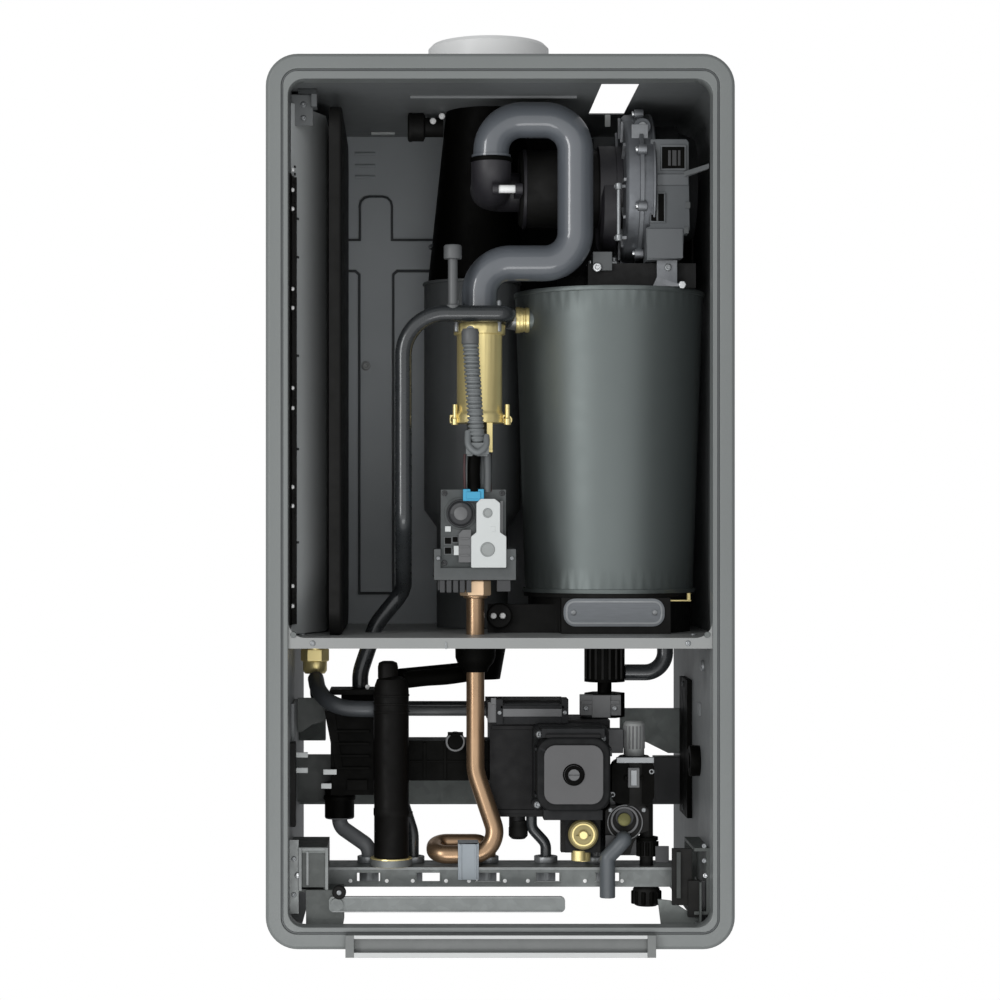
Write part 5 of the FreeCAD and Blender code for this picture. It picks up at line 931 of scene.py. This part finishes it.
def rail_trim():
    rail = Piece("rail_details", "zinc_sheet", edge=0.2)
    for x in (-142, -107, -82, -50, -28, 6.6, 28.7, 83.5, 119):
        rail.turned([(1.9, 0), (1.9, -0.5), (1.3, -0.9)], (x, 60, 55.8), "y", WHITE, 16)
    for x in (-124.6, -67.1, -9.6, 47.9, 105.4):
        rail.slabs(DARK_ZINC, (x - 12.4, x + 12.4, 59.2, 60.2, 54.1, 55.3),
            (x - 12.4, x - 11.2, 59.2, 60.2, 55.3, 63.7), (x + 11.2, x + 12.4, 59.2, 60.2, 55.3, 63.7))
    rail.slabs(ZINC, (-163, 184, 58.8, 60.2, 66.4, 69))

    bracket = Piece("left_bracket_trim", "zinc_sheet")
    bracket.slabs(ZINC, (-190, -187, 21, 24, 52, 93), (-165, -162, 21, 24, 52, 93),
        (-187, -165, 21, 24, 90, 93))
    bracket.slabs(DARK_ZINC, (-187, -165, 60, 62, 52, 91))
    bracket.screw((-191, 24, 66.3), 3, 2, BRIGHT)
    bracket.slabs(ZINC, (-199, -190, 24, 26, 30, 100))
    for height in (82, 48):
        bracket.screw((-194.6, 24, height), 2.4, 1.6)

    ends = Piece("lip_ends", "frame_paint")
    ends.slabs(LIP_WEB, *((left, left + 8, -8.1, -6, -5.9, 14.8) for left in (-145, 137)))
    # Light bands at the top and bottom of the lip's face, painted highlights of its flanges.
    ends.slabs(LIP_HIGHLIGHT, (-137, 137, -8.2, -7.2, 11.6, 14.9), (-137, 137, -8.2, -7.2, -5.9, -1.2))


def stay_trim():
    spot = Piece("stay_end", "zinc_sheet", edge=0.2, body="stay")
    spot.slabs(ZINC, (-158, 58, 16.2, 17.2, 45.6, 47.4), (-158, 58, 16.2, 17.2, 32.6, 34.4))
    spot.turned([(5.4, 0), (6.6, 1.2), (6.6, 5)], (-151.5, 12.2, 51.7), "y", SOFT_BLACK, 32)
    spot.screw((-151.5, 12.2, 51.7), 2.4, 1)


# Pump side

def pump_trim():
    stack = Piece("stack_frame", "pump_cast", edge=0.6)
    stack.slabs(CAST, (-1, 69, 82, 110, 204.5, 224), (3, 65, 80, 82, 219.6, 223))
    stack.slabs(GREY, (3, 65, 80.6, 82.4, 212, 222.6))
    for x in (-1, 62.5):
        stack.slabs(CAST, (x, x + 6.5, 80, 110, 204.5, 229))
        stack.screw((x + 3.2, 80, 216), 2.2, 1.6)
    stack.slabs(GREY, (-9, 3, 84, 104, 206, 226), (-6, -1, 82, 86, 224, 230))
    stack.slabs(STACK, (-5, 108, 86.4, 88.2, 199, 203), (-5, 108, 86.4, 88.2, 117, 121))

    drop = Piece("stack_plug", edge=0.5)
    drop.turned([(6.4, 0), (9.4, 3), (9.4, 11), (8, 13), (8, 18)], (21, 97, 91.5), "z", SOFT_BLACK, 30)

    head = Piece("pump_trim", "pump_cast", edge=0.7)
    for x, height in ((39, 198), (99, 194), (37, 131), (98, 134)):
        head.turned([(5.2, 0), (5.8, 0.8), (5.8, 16)], (x, 44, height), "y", CAST, 24)
        head.screw((x, 44, height), 3.6, 2.6)
    head.slabs(CAST, (40, 100, 27, 52, 196, 205), (42, 98, 28, 52, 118, 128))
    head.slabs(STACK, (44, 96, 24, 27.2, 196.2, 200))
    for height in (140, 184):
        head.slabs(CAST, *((left, left + 2.5, 26, 50, height, height + 3) for left in (33.5, 104)))

    face = Piece("pump_face", "pump_plastic", edge=0.8)
    face.prism(rounded(42, 134, 98, 190, 11, 6), 19.2, 20.6, FACE)

    x, _, height = middle("vent_screw")
    ring = Piece("vent_screw_ring", edge=0.2)
    ring.ring(8.9, 10.4, -0.9, (x, 19.3, height), "y", BLACK)

    face = Piece("vent_screw_face", "screw_plastic", edge=0.1, body="vent_plug")
    face.ring(5.4, 8.9, -0.5, (x, 16.9, height), "y", BLACK)


def union_trim():
    union = Piece("sensor_union", "pump_plastic", edge=0.6)
    union.turned([(19, 0), (19.6, 1), (19.6, 7), (18, 8.4)], (103, 130, 208.5), "z", GREY, 36,
        bore=12)
    union.slabs(GREY, (82.6, 96, 108, 122, 211, 231), (108, 122.4, 108, 122, 211, 231),
        (84, 121, 107, 112, 222, 226), (94, 112, 106.4, 112, 209, 231))
    for x in (88, 116):
        union.screw((x, 108, 218), 2.6, 1.8)

    ribs = Piece("sensor_ribs")
    for x, depth in around(*SENSOR, 20, range(-160, -20, 20)):
        ribs.slabs(SOFT_BLACK, (x - 1.1, x + 1.1, depth - 1, depth + 1, 246, 286))
    ribs.ring(19, 21.4, 3.5, (*SENSOR, 284), "z", SOFT_BLACK, 44, slope=0.5)


def vent_trim():
    body = Piece("air_vent_trim", edge=0.6)
    body.prism(rounded(109, 130, 150, 172, 8, 5), 58, 76, BLACK)
    body.slabs(BLACK, (121, 139, 55, 58.4, 153, 157))
    body.slabs(STEEL, (113.5, 149.5, 55, 60, 169.5, 175), (127, 133, 53.4, 55, 148, 163))
    body.slabs(GREY, (124.5, 135.5, 54.4, 58.4, 146, 165))
    body.screw((110, 60, 139), 3.2, 2.4)
    body.screw((147.5, 60, 161), 3.2, 2.4)
    body.slabs(DARK, (105.7, 121, 66, 84, 178, 201), (104, 110, 64, 86, 175, 181))

    ribs = Piece("cap_ribs", "pump_plastic", edge=0, body="cap")
    for spot in around(*CAP_MIDDLE, 9.8, range(0, 360, 20)):
        ribs.rod(0.9, 22, (*spot, 182), "z", GREY, 8)


def relief_trim():
    relief = Piece("relief_trim", edge=0.6)
    relief.prism([(103, 84), (106, 81), (127, 81), (130, 92), (136, 101), (145, 104), (145, 124),
        (141, 128), (108, 128), (103, 123)], 60, 78, SOFT_BLACK)
    relief.ring(11.4, 13.4, -1.6, (121.5, 60, 114), "y", GREY, 44)
    relief.turned([(5.6, 0), (6.4, -0.8), (6.4, -3), (4.6, -3.6)], (121, 58.4, 115.2), "y", DARK_BRASS, 30)
    for x, height in ((108, 124), (140, 124)):
        relief.screw((x, 60, height), 2.2, 1.4)
    relief.ring(16, 17.2, -1.2, (122, 60, 112), "y", GREY, 44)
    relief.slabs(DARK, (103, 112, 57, 60, 84, 100))

    spill = Piece("spill_sleeve", "pipe_steel", edge=0)
    spill.tube([(120, 56, 97), (120, 49, 97), (118.6, 46, 95.6), (112, 46, 88.4), (105.4, 46, 81.6),
        (104, 46, 79), (104, 46, 70), (104, 46, 50), (104, 46, 42.4)], 7.4, SPILL, 22)

    x, _, height = middle("drain_cock")
    drain = Piece("drain_trim", edge=0.5)
    drain.slabs(SOFT_BLACK, (60, 98, 53, 66, 84, 128))
    drain.ring(14.4, 16.6, 4.6, (x, 50.6, height), "y", SOFT_BLACK, 44, slope=0.6)
    drain.rod(7, 10, (77, 56, 76), "z", BRASS, 26)

    cock = Piece("cock_face", "brass", edge=0.25, body="cock")
    cock.turned([(4, 0), (4.5, -0.6), (4.5, -3), (3.6, -3.8)], (x, 45.2, height), "y", BRASS, 24)
    cock.ring(9.4, 11, -1, (x, 45.2, height), "y", BRASS)


def tap_trim():
    tap = Piece("tap_knob", edge=0.2)
    for spot in around(*WHEEL, 10, range(0, 360, 30)):
        tap.rod(2, 13, (*spot, 79), "z", BLACK, 10)
    tap.ring(6.4, 11.4, 3, (*WHEEL, 93.4), "z", BLACK, 30)

    wheel = Piece("handwheel_ribs", edge=0, body="handwheel")
    for spot in around(*WHEEL, 12.4, range(0, 360, 36)):
        wheel.turned([(1.8, 0), (2.4, 1), (2.4, 12), (1.8, 13)], (*spot, 31.5), "z", BLACK, 12)


def right_trim():
    bracket = Piece("right_bracket_trim", "zinc_sheet", edge=0.4)
    # The middle dark sheet, laid on the right end of the lower rear crossbar, is painted shade.
    bracket.slabs(DARK, (151, 164, 57, 59.4, 74, 89.5), (150, 199, 232, 234.6, 110, 158),
        (191.2, 198.8, 34, 36, 12, 60))
    # The second black block, behind the hinge post, is painted shadow.
    bracket.slabs(SOFT_BLACK, (164, 183, 30, 34, 37, 91), (179, 190.5, 27, 34, 26, 61))
    bracket.slabs(LOW_PLATE, (168, 172, 27, 30.2, 44, 88))
    bracket.slabs(PLATE_GREY, (189.2, 191.2, 22, 60, 12, 60))
    bracket.screw((195, 26, 66), 2.8, 2, BRIGHT)
    for height in (80, 94):
        bracket.screw((194, 26, height), 2.4, 1.6)
    bracket.prism([(151, 42), (163.6, 40.5), (199, 18), (199, 12.5), (186, 12.5), (170, 17.5), (154, 17.5)],
        36, 38.5, DARK_ZINC)

    strip = Piece("wall_strip_trim", edge=0.4)
    strip.ring(9, 15.2, -3.2, (194, 105, 167), "x", BLACK)
    strip.turned([(10, 0), (10, -5), (7, -8)], (196, 105, 167), "x", BLACK, 36)
    for height in (110, 236):
        strip.screw((194, 200, height), 3, 1.8, DUCT, axis="x")


# Back and outside

def outside_trim():
    seam = Piece("shell_seams", "sheet_paint")
    for sign in (-1, 1):
        for near, far, *rest in ((214.9, 216, 318, 334, 30, 802), (200.4, 213.7, 333.4, 334.8, 30, 804)):
            seam.slabs(WALL, (*sorted((sign * near, sign * far)), *rest))
        for height in (60, 250, 440, 630, 790):
            seam.screw((sign * 216, 326, height), 3.8, 2, axis="x", sign=sign)
        for height in (120, 420, 720):
            seam.screw((sign * 215, 36, height), 3.2, 1.8, axis="x", sign=sign)
    seam.slabs(WALL, (-198, 198, 320, 334, 815.9, 817))
    for x in (-190, -120, 90, 190):
        seam.screw((x, 327, 817), 3.4, 1.9, axis="z", sign=1)

    collar = Piece("collar_gasket", edge=0.4)
    collar.turned([(69, 0), (69, 2.2), (67, 3.4)], (*COLLAR, 816.6), "z", SOFT_BLACK, 72, bore=61.4)
    for spot in around(*COLLAR, 65, range(45, 360, 90)):
        collar.screw((*spot, 819.8), 3, 1.8, axis="z", sign=1)

    rear = Piece("rear_fixings", "zinc_sheet", edge=0.2)
    for x, height in ((-184, 308), (-184, 550), (0, 308), (0, 550), (184, 308), (184, 550), (-184, 785),
                      (184, 785)):
        rear.screw((x, 336.2, height), 4, 2, sign=1)


for step in (set_camera, set_lights, set_floor, dress_frame, casing_trim, shelf_trim, duct_trim,
             flow_trim, tube_trim, scroll_trim, motor_trim, signal_trim, valve_trim, exchanger_trim,
             left_trim, rail_trim, stay_trim, pump_trim, union_trim, vent_trim, relief_trim, tap_trim,
             right_trim, outside_trim):
    step()
for piece in PIECES:
    piece.done()
